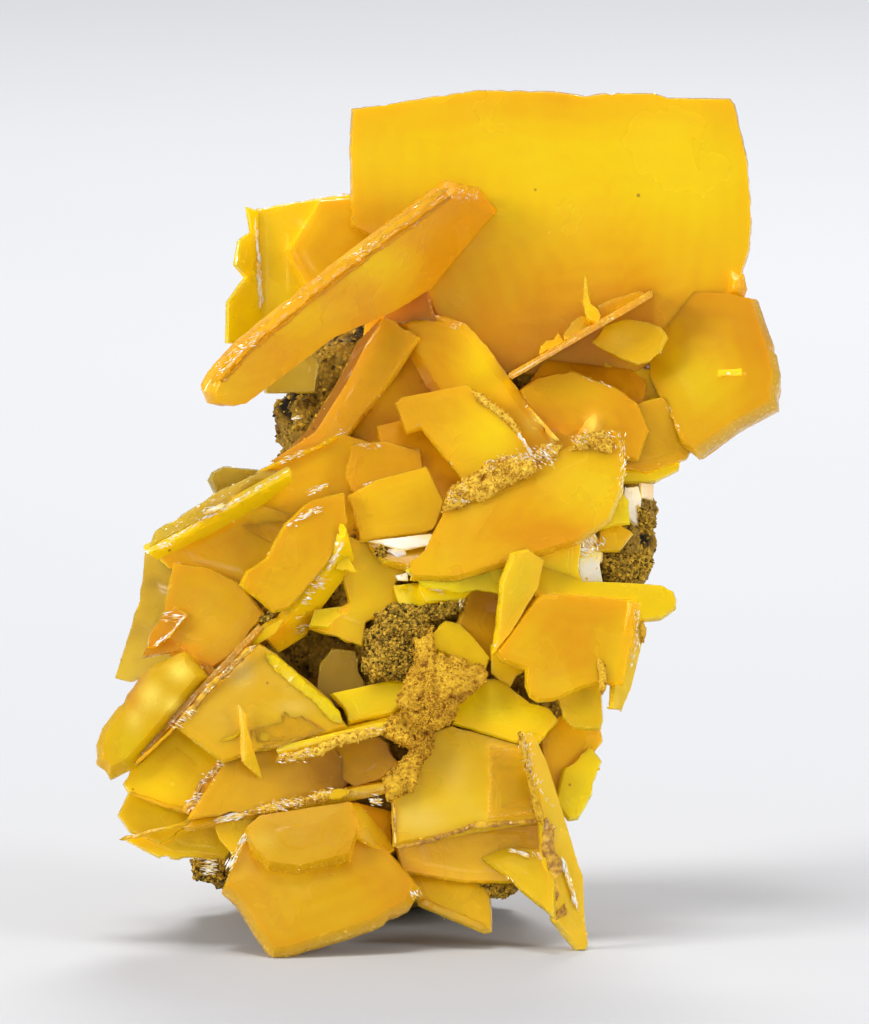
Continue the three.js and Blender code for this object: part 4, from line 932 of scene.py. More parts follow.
# ---- matrix ----
# The lump of rock, as rings up the face: height, and how far it reaches left, right, to the front
# and to the back there.
ROCK_RINGS = np.array([
    [2, -16, -10, 25, 29], [5, -21, -5, 19, 33], [7, -23, 9, 9, 33], [9, -27.5, 10.5, 5, 32],
    [12, -28.6, 12.4, 3, 30.5], [16, -29.4, 14, 2, 29], [22, -30, 16.5, 1.5, 27],
    [32, -28, 19.5, 2.5, 26], [42, -27, 23, 3.5, 26], [48, -25, 25.2, 4.5, 25.5],
    [53, -22, 24.4, 6, 25.5], [58, -18.4, 22.6, 8.5, 26], [63, -19.2, 19, 10.5, 26],
    [69, -15.4, 16, 11.5, 25], [74, -9.5, 13, 14.5, 24], [78, 1, 8, 17, 21],
])
ROCK_SQUARENESS = 0.6  # power that flattens the sides of each ring; 1 gives an ellipse
ROCK_ROWS, ROCK_COLUMNS = 230, 370
ROCK_WAVE, REAR_WAVE = (0.8, 2.1), (1.3, 4.4)  # height and pitch, all round and at the rear
ROCK_NOISE, ROCK_GRAIN = (0.42, 3.2), (0.34, 0.95)  # height and pitch of the roughness
ROCK_PIT_DEPTH, ROCK_SINK = 1.1, 0.35  # and how far the whole skin sinks in
DRUSE_GRAINS, DRUSE_HEIGHTS, DRUSE_SIZES = 9000, (6, 76), (0.12, 0.38)

# Knobs on the front of the rock, and hollows where the height is negative: x, z, height, radius.
ROCK_KNOBS = [
    [-4.6, 36, 3.4, 3.6], [-14, 35, -4.5, 4.5], [-12, 41.5, -2.5, 3], [22.5, 47, 4.5, 4.5],
    [-17.5, 61, 3, 4], [-12.5, 69, 3, 3.5], [-26, 10.5, 2.5, 3], [9.5, 31, -3, 2.5],
    [-3, 67, -5, 7],
]


def wave(x, y, z, pitch):
    """The repeatable wave field of the rock's coarse shape: products of crossing sines."""
    return (
        np.sin((x * 1.3 + y * 0.7) / pitch + 1.7) * np.cos((z * 1.1 - x * 0.4) / pitch)
        + 0.6 * np.sin((z * 2.3 + y * 1.9) / pitch + 0.6) * np.cos((x * 2.1 - y) / pitch)
    )


def rock_skin(height, angle):
    """Points of the rock's skin from height and angle.

    A ring is an ellipse with flattened sides, pushed outwards by its knobs, by two waves, by
    layered noise and by rounded grains, and pitted where the noise is low. Gives the points, and
    how deep each lies in a pit.
    """
    left, right, front, back = (np.interp(height, ROCK_RINGS[:, 0], reach)
                                for reach in ROCK_RINGS[:, 1:].T)
    c, s = np.cos(angle), np.sin(angle)
    x = (left + right) / 2 + (right - left) / 2 * np.sign(c) * np.abs(c) ** ROCK_SQUARENESS
    y = (front + back) / 2 - (back - front) / 2 * np.sign(s) * np.abs(s) ** ROCK_SQUARENESS
    push = (ROCK_WAVE[0] * wave(x, y, height, ROCK_WAVE[1])
            + REAR_WAVE[0] * np.maximum(0, -s) * wave(x, y, height, REAR_WAVE[1]))
    for knob_x, knob_z, rise, radius in ROCK_KNOBS:
        away = np.hypot(x - knob_x, height - knob_z) / radius
        y = y - rise * np.exp(-away * away) * np.maximum(0, s)
    skin = np.stack([x + push * c, y - push * s, height + 0 * x], axis=-1)
    rough = layered_noise(skin, ROCK_NOISE[1], 4)
    grains = 0.55 - grain_distance(skin, ROCK_GRAIN[1])
    pit = np.clip(-rough - 0.35, 0, 1)
    fine = ROCK_NOISE[0] * rough + ROCK_GRAIN[0] * grains - ROCK_PIT_DEPTH * pit - ROCK_SINK
    skin = skin + fine[..., None] * np.stack([c + 0 * x, -s + 0 * x, 0 * x], axis=-1)
    return skin, np.clip(pit * 2.2 + 0.12 - 0.8 * grains, 0, 1)


def rock_surface():
    """The whole rock as one closed grid of rings, capped by a point at the crown and the foot."""
    height = np.linspace(ROCK_RINGS[0, 0], ROCK_RINGS[-1, 0], ROCK_ROWS)[::-1, None]
    angle = np.linspace(0, 2 * np.pi, ROCK_COLUMNS, endpoint=False)[None, :]
    skin, pit = rock_skin(height + 0 * angle, angle + 0 * height)
    rock = capped(skin[0].mean(axis=0), skin, skin[-1].mean(axis=0), pit=(0, pit, 0))
    rock["faces"] = [faces[:, ::-1] for faces in rock["faces"]]
    return rock


# ---- grains ----
OCTAHEDRON = np.array([[1, 0, 0], [0, 1, 0], [-1, 0, 0], [0, -1, 0], [0, 0, 0.9], [0, 0, -0.9]])
OCTAHEDRON_FACES = np.array([[0, 1, 4], [1, 2, 4], [2, 3, 4], [3, 0, 4],
                             [1, 0, 5], [2, 1, 5], [3, 2, 5], [0, 3, 5]])
FLAKE = np.array([[sx * w, sy * w, h] for h, w in ((-0.16, 0.8), (0.0, 1.0), (0.16, 0.8))
                  for sx, sy in ((1, 1), (-1, 1), (-1, -1), (1, -1))])
FLAKE_FACES = np.array([[0, 2, 1], [0, 3, 2], [8, 9, 10], [8, 10, 11]] + [
    face for row in (0, 4) for k in range(4)
    for face in ([row + k, row + (k + 1) % 4, row + k + 4],
                 [row + (k + 1) % 4, row + (k + 1) % 4 + 4, row + k + 4])])


def scattered(shape, faces, centres, sizes, rng, stretch=0.4):
    """Many small copies of a shape, each randomly turned and stretched, as one part.

    The turn comes from a random unit quaternion, worked out for all copies at once.
    """
    w, x, y, z = np.moveaxis(rng.normal(size=(len(centres), 4)), 1, 0)
    length = np.sqrt(w * w + x * x + y * y + z * z)
    w, x, y, z = w / length, x / length, y / length, z / length
    turn = np.stack([
        1 - 2 * (y * y + z * z), 2 * (x * y - w * z), 2 * (x * z + w * y),
        2 * (x * y + w * z), 1 - 2 * (x * x + z * z), 2 * (y * z - w * x),
        2 * (x * z - w * y), 2 * (y * z + w * x), 1 - 2 * (x * x + y * y),
    ], axis=-1).reshape(-1, 3, 3)
    scale = sizes[:, None] * rng.uniform(1 - stretch, 1 + stretch, (len(centres), 3))
    points = np.einsum("nij,nkj->nki", turn, shape * scale[:, None]) + centres[:, None]
    return copies(points, faces, rng)


def copies(points, faces, rng):
    """Copies of a small shape as one part, from the points of each, with a random shade each."""
    count, corners = points.shape[:2]
    numbered = faces + (np.arange(count) * corners)[:, None, None]
    return {"points": points.reshape(-1, 3), "faces": [numbered.reshape(-1, 3)],
            "values": {"pit": np.repeat(rng.uniform(0, 1, count), corners)}}


# ---- crusts ----
def front_of(name, index, points):
    """Points [x, z] carried back onto the front face of a tablet."""
    tablet = CRYSTALS[name][index]
    centre, _, _, normal, _ = tablet_plane(tablet["rim"])
    x, z = np.array(points, dtype=float).T
    centre = centre + normal * tablet["thickness"] / 2
    y = centre[1] - ((x - centre[0]) * normal[0] + (z - centre[2]) * normal[2]) / normal[1]
    return np.stack([x, y, z], axis=-1)


def laid_on(base, path):
    """A path's points in space: carried onto a tablet's front and lifted, or as they are."""
    if base is None:
        return np.array(path, dtype=float)
    name, index, lift = base
    return front_of(name, index, path) - np.array([0, lift, 0])


def path_frame(path, step):
    """Points spaced evenly along a path, and at each the way forward, the way out to the front and
    the way sideways, as unit vectors, and the length passed."""
    path = np.array(path, dtype=float)
    length = np.linalg.norm(np.diff(path, axis=0), axis=1)
    place = np.concatenate([[0], np.cumsum(length)])
    along = np.linspace(0, place[-1], max(6, int(place[-1] / step)))
    middle = np.stack([np.interp(along, place, path[:, k]) for k in range(3)], axis=-1)
    forward = np.gradient(middle, axis=0)
    forward /= np.linalg.norm(forward, axis=1, keepdims=True)
    outward = np.array([0.0, -1.0, 0.0]) - forward * (-forward[:, 1:2])
    outward /= np.linalg.norm(outward, axis=1, keepdims=True)
    return middle, forward, outward, np.cross(forward, outward), along


def crust_pad(outline, thickness):
    """A pad of crust over an outline of [x, y, z] points, as a closed grid.

    The way round the rim is one parameter and the way from the middle over the top, round the rim
    and underneath is the other. The top is a dome of the fourth root kind, roughened by layered
    noise, with cellular pits, and the rim wanders in and out.
    """
    centre, along, across, normal, corners = tablet_plane(outline)
    length, inward = sides_of(corners)
    rim = along_sides(corners, *walk_round(length, PAD_STEP, 2))
    heart = heart_of(corners, inward)
    rows = max(6, int(np.linalg.norm(corners - heart, axis=1).mean() / PAD_STEP))
    out = np.sin(np.linspace(0.02, 1, rows) * np.pi / 2)
    under = np.linspace(1, 0, max(4, rows // 3))[1:-1] * 0.96
    share = np.concatenate([out, under])[:, None]
    on_top = np.arange(len(share))[:, None] < rows
    flat = heart + (rim - heart) * share[..., None]
    wander = layered_noise(in_space(flat, centre, along, across), PAD_RAGGED[1], 3)
    ragged = 1 + PAD_RAGGED[0] * wander * share
    position = in_space(heart + (flat - heart) * ragged[..., None], centre, along, across)
    dome = (1 - share**4) ** 0.5
    rough = layered_noise(position, PAD_ROUGH[1], 3)
    bend = PAD_BEND[0] * layered_noise(position[..., ::-1], PAD_BEND[1], 2)
    away = grain_distance(position + bend[..., None], PAD_HOLLOW[1])
    hollow = np.clip(PAD_HOLLOW_REACH - away, 0, 1) * np.clip(0.5 - rough, 0, 1)
    height = np.where(on_top, dome, -0.45 * (1 - share**2)) * thickness
    relief = PAD_ROUGH[0] * rough - PAD_HOLLOW[0] * hollow
    height = height + on_top * (0.35 + 0.65 * dome) * relief
    first, last = (in_space(heart, centre, along, across) + normal * height[row].mean()
                   for row in (0, -1))
    pit = np.clip(hollow * 5 + 0.12 - 0.4 * rough, 0, 1) * on_top
    return capped(first, position + normal * height[..., None], last, pit=(0, pit, 0))


def crust_strip(path, width):
    """A strip of crust: a flattened round profile carried along a path, its size wandering by
    noise and tapering at both ends."""
    middle, _, outward, sideways, along = path_frame(path, STRIP_STEP)
    taper = np.clip(np.minimum(along, along[-1] - along) / width, 0.05, 1) ** 0.5
    turn = np.linspace(0, 2 * np.pi, max(10, int(2.4 * width / STRIP_STEP)), endpoint=False)
    ring = (np.cos(turn)[None, :, None] * sideways[:, None] * width / 2
            + np.sin(turn)[None, :, None] * outward[:, None] * width * STRIP_FLATNESS)
    ring = ring * taper[:, None, None]
    points = middle[:, None] + ring
    rough = layered_noise(points, STRIP_ROUGH[1], 3)
    hollow = np.clip(STRIP_HOLLOW_REACH - grain_distance(points, STRIP_HOLLOW[1]), 0, 1)
    grow = 1 + STRIP_ROUGH[0] * rough - STRIP_HOLLOW[0] * hollow
    pit = np.clip(hollow * 3.2 + 0.15 - 0.3 * rough, 0, 1)
    return capped(middle[0], middle[:, None] + ring * grow[..., None], middle[-1],
                  pit=(0, pit, 0))


PAD_STEP, STRIP_STEP, RIDGE_STEP, SHARD_STEP = 0.16, 0.18, 0.22, 0.1  # spacing of their points
STRIP_FLATNESS = 0.45  # how far a strip stands out, in widths
# Height and pitch of a pad's ragged rim, of its roughness, and of its hollows and their bends, and
# the reach of a hollow in pitches.
PAD_RAGGED, PAD_ROUGH, PAD_HOLLOW, PAD_BEND = (0.16, 1.7), (0.32, 2.6), (1.5, 1.25), (0.5, 1.1)
PAD_HOLLOW_REACH = 0.42
STRIP_ROUGH, STRIP_HOLLOW, STRIP_HOLLOW_REACH = (0.42, 1.9), (1.1, 1.1), 0.36
RIDGE_LEVEL = 0.88
POINTS_PER_SPLINTER, SPLINTER_SIZES, SPLINTER_SHADE = 60, (0.05, 0.17), 0.42
RIDGE_PROFILE = np.array([[0, -0.7], [0.5, 0], [0.42, 0.6], [0.08, 1.0], [-0.36, 0.75], [-0.5, 0]])


def ridge(path, width, rise, tone, rng):
    """A ridge of crystal: a six-sided profile carried along a path. Its width, its crest and its
    lean jump at random places, and it tapers at both ends."""
    middle, _, outward, sideways, along = path_frame(path, RIDGE_STEP)
    total = along[-1]
    taper = np.clip(np.minimum(along, total - along) / width, 0.1, 1)
    wide = width * taper * (1 + 0.22 * steps_along(along, total, 0.9, rng))
    high = rise * taper * (1 + 0.35 * steps_along(along, total, 0.7, rng))
    shift = 0.12 * width * steps_along(along, total, 1.1, rng)
    across = RIDGE_PROFILE[:, 0] * wide[:, None] + shift[:, None]
    out = RIDGE_PROFILE[:, 1] * high[:, None]
    points = (middle[:, None] + sideways[:, None] * across[..., None]
              + outward[:, None] * out[..., None])
    zone = np.tile(0.4 + 0.9 * np.clip(RIDGE_PROFILE[:, 1], 0, 1), len(along))
    part = capped(middle[0], points, middle[-1], zone=(0.4, zone, 0.4))
    for key, value in (("tone", tone), ("milk", 0.0), ("recess", 0.0), ("level", RIDGE_LEVEL)):
        part["values"][key] = np.full(len(part["points"]), value)
    return part


def shards_along(path, spread, spacing, length, lean, rng):
    """Slender shards near a path: six-sided needles with a point at each end, which lean from the
    way of the path by an angle in degrees, each a little differently."""
    middle, forward, outward, sideways, along = path_frame(path, SHARD_STEP)
    pick = rng.integers(0, len(along), max(3, int(along[-1] / spacing)))
    count = len(pick)
    angle = np.radians(lean + rng.normal(0, 9, count))[:, None]
    aim = forward[pick] * np.cos(angle) + sideways[pick] * np.sin(angle)
    aim += outward[pick] * rng.normal(0, 0.25, (count, 1))
    aim /= np.linalg.norm(aim, axis=1, keepdims=True)
    side = np.cross(aim, rng.normal(size=(count, 3)))
    side /= np.linalg.norm(side, axis=1, keepdims=True)
    other = np.cross(aim, side)
    centre = (middle[pick] + sideways[pick] * rng.normal(0, spread, (count, 1))
              + outward[pick] * rng.uniform(-0.05, 0.25, (count, 1)))
    long = length * rng.uniform(0.35, 1.3, (count, 1, 1))
    wide = length * rng.uniform(0.12, 0.3, (count, 1, 1))
    points = (centre[:, None] + aim[:, None] * OCTAHEDRON[:, :1] * long
              + side[:, None] * OCTAHEDRON[:, 1:2] * wide
              + other[:, None] * OCTAHEDRON[:, 2:] * wide * 0.6)
    return copies(points, OCTAHEDRON_FACES, rng)


def rim_splinters(parts, rng):
    """Small flat splinters on the rims: random points where the distance from the rim is small
    and a noise field is high, each with a flake that is turned at random."""
    spots = []
    for part in parts:
        points, zone = part["points"], part["values"]["zone"]
        near = np.flatnonzero((zone < 0.5) & (zone > 0) & (smooth_noise(points, 3.0) > 0.05))
        spots.append(points[rng.permutation(near)[: len(near) // POINTS_PER_SPLINTER]])
    spots = np.concatenate(spots)
    spots = spots + rng.normal(0, 0.05, spots.shape)
    part = scattered(FLAKE, FLAKE_FACES, spots, rng.uniform(*SPLINTER_SIZES, len(spots)), rng, 0.5)
    part["values"]["pit"] *= SPLINTER_SHADE
    return part


def with_grains(part, share, size, rng):
    """A part with small grains on a share of the points of its surface, chosen at random."""
    points = part["points"]
    chosen = points[rng.integers(0, len(points), max(1, int(len(points) * share)))]
    chosen = chosen + rng.normal(0, size * 0.5, chosen.shape)
    sizes = size * rng.uniform(0.5, 1.5, len(chosen))
    return merged([part, scattered(OCTAHEDRON, OCTAHEDRON_FACES, chosen, sizes, rng)])


# ---- materials ----
VECTOR, COLOUR, NUMBER = "NodeSocketVector", "NodeSocketColor", "NodeSocketFloat"
WHITE, PALE_GOLD = (1, 1, 1, 1), (1.0, 0.76, 0.10, 1)
SPECK_COLOUR = (0.30, 0.13, 0.01, 1)
CRYSTAL_IOR = 1.9
# Each kind of crystal: its pale, body and deep colour, the colour and share of its veils, its
# gloss, how clear it is, the colour of the light it keeps, and how densely it absorbs the rest.
CRYSTAL_LOOKS = {
    "window_crystal": ((1.0, 0.67, 0.003, 1), (0.96, 0.53, 0.004, 1), (0.84, 0.35, 0.004, 1),
                       PALE_GOLD, 0.02, 0.16, 0.14, (1.0, 0.74, 0.1, 1), 300),
    "golden_crystal": ((1.0, 0.68, 0.003, 1), (0.96, 0.55, 0.004, 1), (0.86, 0.36, 0.004, 1),
                       PALE_GOLD, 0.1, 0.2, 0.14, (1.0, 0.74, 0.1, 1), 300),
    "lemon_crystal": ((1.0, 0.73, 0.004, 1), (0.97, 0.60, 0.004, 1), (0.86, 0.43, 0.004, 1),
                      PALE_GOLD, 0.1, 0.16, 0.2, (1.0, 0.82, 0.15, 1), 250),
    "frosted_crystal": ((1.0, 0.68, 0.012, 1), (0.97, 0.55, 0.006, 1), (0.84, 0.38, 0.005, 1),
                        (1.0, 0.80, 0.26, 1), 0.3, 0.22, 0.2, (1.0, 0.85, 0.3, 1), 250),
    # The white kind's near-white veil colour is partly a painted glint.
    "white_and_glint_crystal": ((1.0, 0.74, 0.06, 1), (0.96, 0.60, 0.02, 1), (0.80, 0.40, 0.008, 1),
                      (1.0, 0.96, 0.80, 1), 0.04, 0.14, 0.1, (1.0, 0.9, 0.4, 1), 200),
    "orange_crystal": ((1.0, 0.54, 0.004, 1), (0.88, 0.40, 0.004, 1), (0.78, 0.26, 0.004, 1),
                       PALE_GOLD, 0.08, 0.24, 0.12, (1.0, 0.68, 0.08, 1), 350),
    "brown_crystal": ((0.92, 0.48, 0.008, 1), (0.68, 0.33, 0.008, 1), (0.46, 0.19, 0.006, 1),
                      PALE_GOLD, 0.1, 0.22, 0.16, (1.0, 0.72, 0.1, 1), 300),
    "olive_crystal": ((0.84, 0.57, 0.008, 1), (0.66, 0.40, 0.008, 1), (0.36, 0.20, 0.006, 1),
                      (0.95, 0.7, 0.1, 1), 0.3, 0.22, 0.2, (0.95, 0.82, 0.2, 1), 300),
}
# Each sandy or rocky material: its light, main and dark colour, the share of the light one, and
# its grains a metre.
GRAIN_LOOKS = {
    "dark_matrix": ((0.44, 0.25, 0.022, 1), (0.15, 0.078, 0.010, 1), (0.010, 0.006, 0.003, 1),
                    0.6, 2100),
    "ochre_crust": ((0.84, 0.50, 0.03, 1), (0.52, 0.26, 0.012, 1), (0.32, 0.12, 0.010, 1),
                    0.75, 3000),
    "golden_druse": ((0.85, 0.52, 0.05, 1), (0.38, 0.19, 0.016, 1), (0.03, 0.016, 0.004, 1),
                     0.6, 2600),
    "edge_crust": ((1.0, 0.68, 0.07, 1), (0.84, 0.44, 0.016, 1), (0.48, 0.20, 0.012, 1),
                   0.8, 3200),
}


def new_group(name, inputs, outputs):
    """An empty shader node group with named sockets: name to (kind, default), and name to kind."""
    group = bpy.data.node_groups.new(name, "ShaderNodeTree")
    for label, (kind, value) in inputs.items():
        socket = group.interface.new_socket(label, in_out="INPUT", socket_type=kind)
        socket.default_value = value
    for label, kind in outputs.items():
        group.interface.new_socket(label, in_out="OUTPUT", socket_type=kind)
    given = group.nodes.new("NodeGroupInput").outputs
    return group, given, group.nodes.new("NodeGroupOutput")


def set_sockets(tree, node, **sockets):
    """Sets a node's sockets, by name or as i and a number, to a value or links them from another
    socket. An underscore stands for a space."""
    for key, value in sockets.items():
        by_number = key[0] == "i" and key[1:].isdigit()
        target = node.inputs[int(key[1:]) if by_number else key.replace("_", " ")]
        if isinstance(value, bpy.types.NodeSocket):
            tree.links.new(value, target)
        else:
            target.default_value = value


def add_node(tree, kind, settings=None, **sockets):
    """A node with its settings and its sockets."""
    node = tree.nodes.new(kind)
    for key, value in (settings or {}).items():
        setattr(node, key, value)
    set_sockets(tree, node, **sockets)
    return node


def maths(tree, operation, *values, clamp=False):
    """The output of a Math node."""
    sockets = {f"i{k}": value for k, value in enumerate(values)}
    node = add_node(tree, "ShaderNodeMath", {"operation": operation, "use_clamp": clamp}, **sockets)
    return node.outputs[0]


def ranged(tree, value, low, high, to_low=0.0, to_high=1.0):
    """The value carried smoothly from one range to another."""
    node = add_node(tree, "ShaderNodeMapRange", {"interpolation_type": "SMOOTHSTEP"},
                    Value=value, From_Min=low, From_Max=high, To_Min=to_low, To_Max=to_high)
    return node.outputs[0]


def blended(tree, share, first, second):
    """Two colours mixed by a share."""
    node = add_node(tree, "ShaderNodeMix", {"data_type": "RGBA"}, i0=share, i6=first, i7=second)
    return node.outputs[2]


def noise(tree, vector, scale, detail=2.0, rough=0.5, distortion=0.0):
    """The value of a noise texture, at a scale per metre."""
    node = add_node(tree, "ShaderNodeTexNoise", None, Vector=vector, Scale=scale, Detail=detail,
                    Roughness=rough, Distortion=distortion)
    return node.outputs[0]


def growth_group():
    """Colour, roughness and relief of a crystal: clouds, growth zones along the rim, thin veils of
    healed cracks, a painted glint along the rims, painted shade in the recesses, and a level that
    scales the colour."""
    inputs = {
        "Position": (VECTOR, (0, 0, 0)), "Pale": (COLOUR, WHITE), "Body": (COLOUR, WHITE),
        "Deep": (COLOUR, WHITE), "Veil": (COLOUR, WHITE), "Tone": (NUMBER, 0.0),
        "Zone": (NUMBER, 0.0), "Recess": (NUMBER, 0.0), "Milk": (NUMBER, 0.0),
        "Level": (NUMBER, 1.0), "Veil Share": (NUMBER, 0.3), "Gloss": (NUMBER, 0.2),
    }
    outputs = {"Color": COLOUR, "Roughness": NUMBER, "Height": NUMBER, "Glint": NUMBER}
    group, at, result = new_group("crystal_growth", inputs, outputs)
    clouded = noise(group, at["Position"], 95, 3, 0.55, 0.4)
    wisps = noise(group, at["Position"], 330, 3, 0.5, 0.3)
    fine = noise(group, at["Position"], 2600, 3, 0.6)
    patchy = ranged(group, noise(group, at["Position"], 700, 2), 0.42, 0.6)

    # Growth zones: waves of the distance from the rim, bent by the clouds.
    bent = maths(group, "MULTIPLY_ADD", clouded, 2.5, at["Zone"])
    zones = maths(group, "SINE", maths(group, "MULTIPLY", bent, 2.6))
    # Darker tone in patches near the rim.
    rim_darkening = maths(group, "MULTIPLY", ranged(group, at["Zone"], 0.1, 0.7, 1.0, 0.0), patchy)
    tone = at["Tone"]
    for change, strength in (
        (maths(group, "SUBTRACT", clouded, 0.5), 0.9), (zones, 0.05),
        (maths(group, "SUBTRACT", wisps, 0.5), 0.12), (rim_darkening, -0.12),
    ):
        tone = maths(group, "MULTIPLY_ADD", change, strength, tone)
    shade = blended(group, ranged(group, tone, -0.6, 0.3), at["Deep"], at["Body"])
    shade = blended(group, ranged(group, tone, 0.1, 0.9), shade, at["Pale"])
    # Painted shade: the colour is drawn towards the deep colour where the point lies in a recess.
    painted_shade_share = maths(group, "MULTIPLY", at["Recess"], 0.35, clamp=True)
    shade = blended(group, painted_shade_share, shade, at["Deep"])
    # The level scales the colour: partly the crystal's own darkness, partly painted light and shade.
    dimmed = add_node(group, "ShaderNodeVectorMath", {"operation": "SCALE"}, i0=shade,
                      Scale=at["Level"])

    # Veils: hazy patches, a painted glint along the rim as a pale grain, and milky clouds.
    patch = ranged(group, noise(group, at["Position"], 160, 2), 0.45, 0.75)
    haze = maths(group, "MULTIPLY", patch, 0.45)
    rim = ranged(group, at["Zone"], 0.0, 0.45, 1.0, 0.0)
    painted_rim_glint = maths(group, "MULTIPLY", rim, ranged(group, fine, 0.5, 0.66, 0.0, 0.5))
    # Milk: partly the crystal's own milky clouds, partly painted glints.
    milk = maths(group, "MULTIPLY", at["Milk"], ranged(group, fine, 0.3, 0.5, 0.75, 0.95),
                 clamp=True)
    veil = maths(group, "MAXIMUM", maths(group, "MULTIPLY", haze, at["Veil Share"]), painted_rim_glint)
    veil = maths(group, "MAXIMUM", veil, milk, clamp=True)
    shade = blended(group, veil, dimmed.outputs[0], at["Veil"])

    # Specks: a few small dark inclusions, one in some of the cells of a coarse lattice.
    cells = add_node(group, "ShaderNodeTexVoronoi", None, Vector=at["Position"], Scale=260)
    pick = add_node(group, "ShaderNodeSeparateColor", None, Color=cells.outputs["Color"])
    size = maths(group, "MULTIPLY", ranged(group, pick.outputs[0], 0.7, 1.0), 0.06)
    speck = ranged(group, maths(group, "SUBTRACT", size, cells.outputs["Distance"]), -0.01, 0.015)
    shade = blended(group, maths(group, "MULTIPLY", speck, 0.75), shade, SPECK_COLOUR)

    rough = maths(group, "MULTIPLY_ADD", ranged(group, clouded, 0.3, 0.7), 0.12, at["Gloss"])
    grooves = maths(group, "SINE", maths(group, "MULTIPLY", at["Zone"], 21.0))
    relief = maths(group, "MULTIPLY_ADD", grooves, 0.02, maths(group, "MULTIPLY", fine, 0.5))
    set_sockets(group, result, Color=shade, Glint=maths(group, "MULTIPLY", rim, 0.45),
                Roughness=maths(group, "MULTIPLY_ADD", haze, 0.1, rough),
                Height=maths(group, "MULTIPLY_ADD", wisps, 0.15, relief))
    return group


def new_material(name):
    """A material, its tree, its Principled shader, and the object's own coordinates."""
    material = bpy.data.materials.new(name)
    material.use_nodes = True
    tree = material.node_tree
    place = tree.nodes.new("ShaderNodeTexCoord").outputs["Object"]
    return material, tree, tree.nodes["Principled BSDF"], place


def attribute(tree, name):
    """The value of a point attribute of the piece."""
    return add_node(tree, "ShaderNodeAttribute", {"attribute_name": name}).outputs["Fac"]


def relief_of(tree, height, strength, distance):
    """The normal that a height gives, as a Bump node works it out."""
    bump = add_node(tree, "ShaderNodeBump", None, Height=height, Strength=strength,
                    Distance=distance)
    return bump.outputs["Normal"]


def crystal_material(name, growth, pale, body, deep, veil, veil_share, gloss, clear, kept, density):
    """A translucent crystal: light scatters under its skin, passes through it, and is absorbed."""
    material, tree, shader, place = new_material(name)
    values = {key.capitalize(): attribute(tree, key)
              for key in ("tone", "zone", "recess", "milk", "level")}
    look = add_node(tree, "ShaderNodeGroup", {"node_tree": growth}, Position=place, Pale=pale,
                    Body=body, Deep=deep, Veil=veil, Veil_Share=veil_share, Gloss=gloss,
                    **values).outputs
    set_sockets(
        tree, shader, Base_Color=look["Color"], Roughness=look["Roughness"],
        Normal=relief_of(tree, look["Height"], 0.35, 0.00012), Coat_Weight=look["Glint"],
        Coat_Roughness=0.06, Coat_IOR=CRYSTAL_IOR, IOR=CRYSTAL_IOR, Specular_IOR_Level=0.06,
        Transmission_Weight=clear, Subsurface_Weight=1.0, Subsurface_Radius=(1.0, 0.72, 0.1),
        Subsurface_Scale=0.0018,
    )
    shader.subsurface_method = "BURLEY"
    inside = add_node(tree, "ShaderNodeVolumeAbsorption", None, Color=kept, Density=density)
    set_sockets(tree, tree.nodes["Material Output"], Volume=inside.outputs[0])
    return material


def grain_group():
    """Colour, roughness and relief of packed grains: a random shade for each cell, patches of a
    second shade, and dark gaps and pits."""
    inputs = {
        "Position": (VECTOR, (0, 0, 0)), "Light": (COLOUR, WHITE), "Main": (COLOUR, WHITE),
        "Dark": (COLOUR, WHITE), "Pit": (NUMBER, 0.0), "Grains": (NUMBER, 1800.0),
        "Light Share": (NUMBER, 0.4),
    }
    outputs = {"Color": COLOUR, "Roughness": NUMBER, "Height": NUMBER}
    group, at, result = new_group("packed_grains", inputs, outputs)
    cells = add_node(group, "ShaderNodeTexVoronoi", None, Vector=at["Position"],
                     Scale=at["Grains"])
    shade = add_node(group, "ShaderNodeSeparateColor", None, Color=cells.outputs["Color"])
    patches = maths(group, "MULTIPLY", noise(group, at["Position"], 260, 3, 0.6), 1.2)
    level = maths(group, "MULTIPLY_ADD", shade.outputs[0], 0.35, patches)
    edge = maths(group, "SUBTRACT", 1.35, at["Light Share"])
    light = ranged(group, level, maths(group, "SUBTRACT", edge, 0.35), edge)
    tint = blended(group, light, at["Main"], at["Light"])
    gap = ranged(group, cells.outputs["Distance"], 0.35, 0.75)
    dark = maths(group, "MAXIMUM", at["Pit"], maths(group, "MULTIPLY", gap, 0.35))
    set_sockets(group, result, Color=blended(group, dark, tint, at["Dark"]),
                Roughness=maths(group, "MULTIPLY_ADD", shade.outputs[1], -0.35, 0.85),
                Height=maths(group, "SUBTRACT", 1.0, gap))
    return group


def grain_material(name, grains, light, main, dark, light_share, per_metre):
    """A sandy or rocky material of packed grains."""
    material, tree, shader, place = new_material(name)
    look = add_node(tree, "ShaderNodeGroup", {"node_tree": grains}, Position=place, Light=light,
                    Main=main, Dark=dark, Pit=attribute(tree, "pit"), Grains=per_metre,
                    Light_Share=light_share).outputs
    set_sockets(tree, shader, Base_Color=look["Color"], Roughness=look["Roughness"],
                Normal=relief_of(tree, look["Height"], 0.6, 0.00015), Specular_IOR_Level=0.15)
    return material


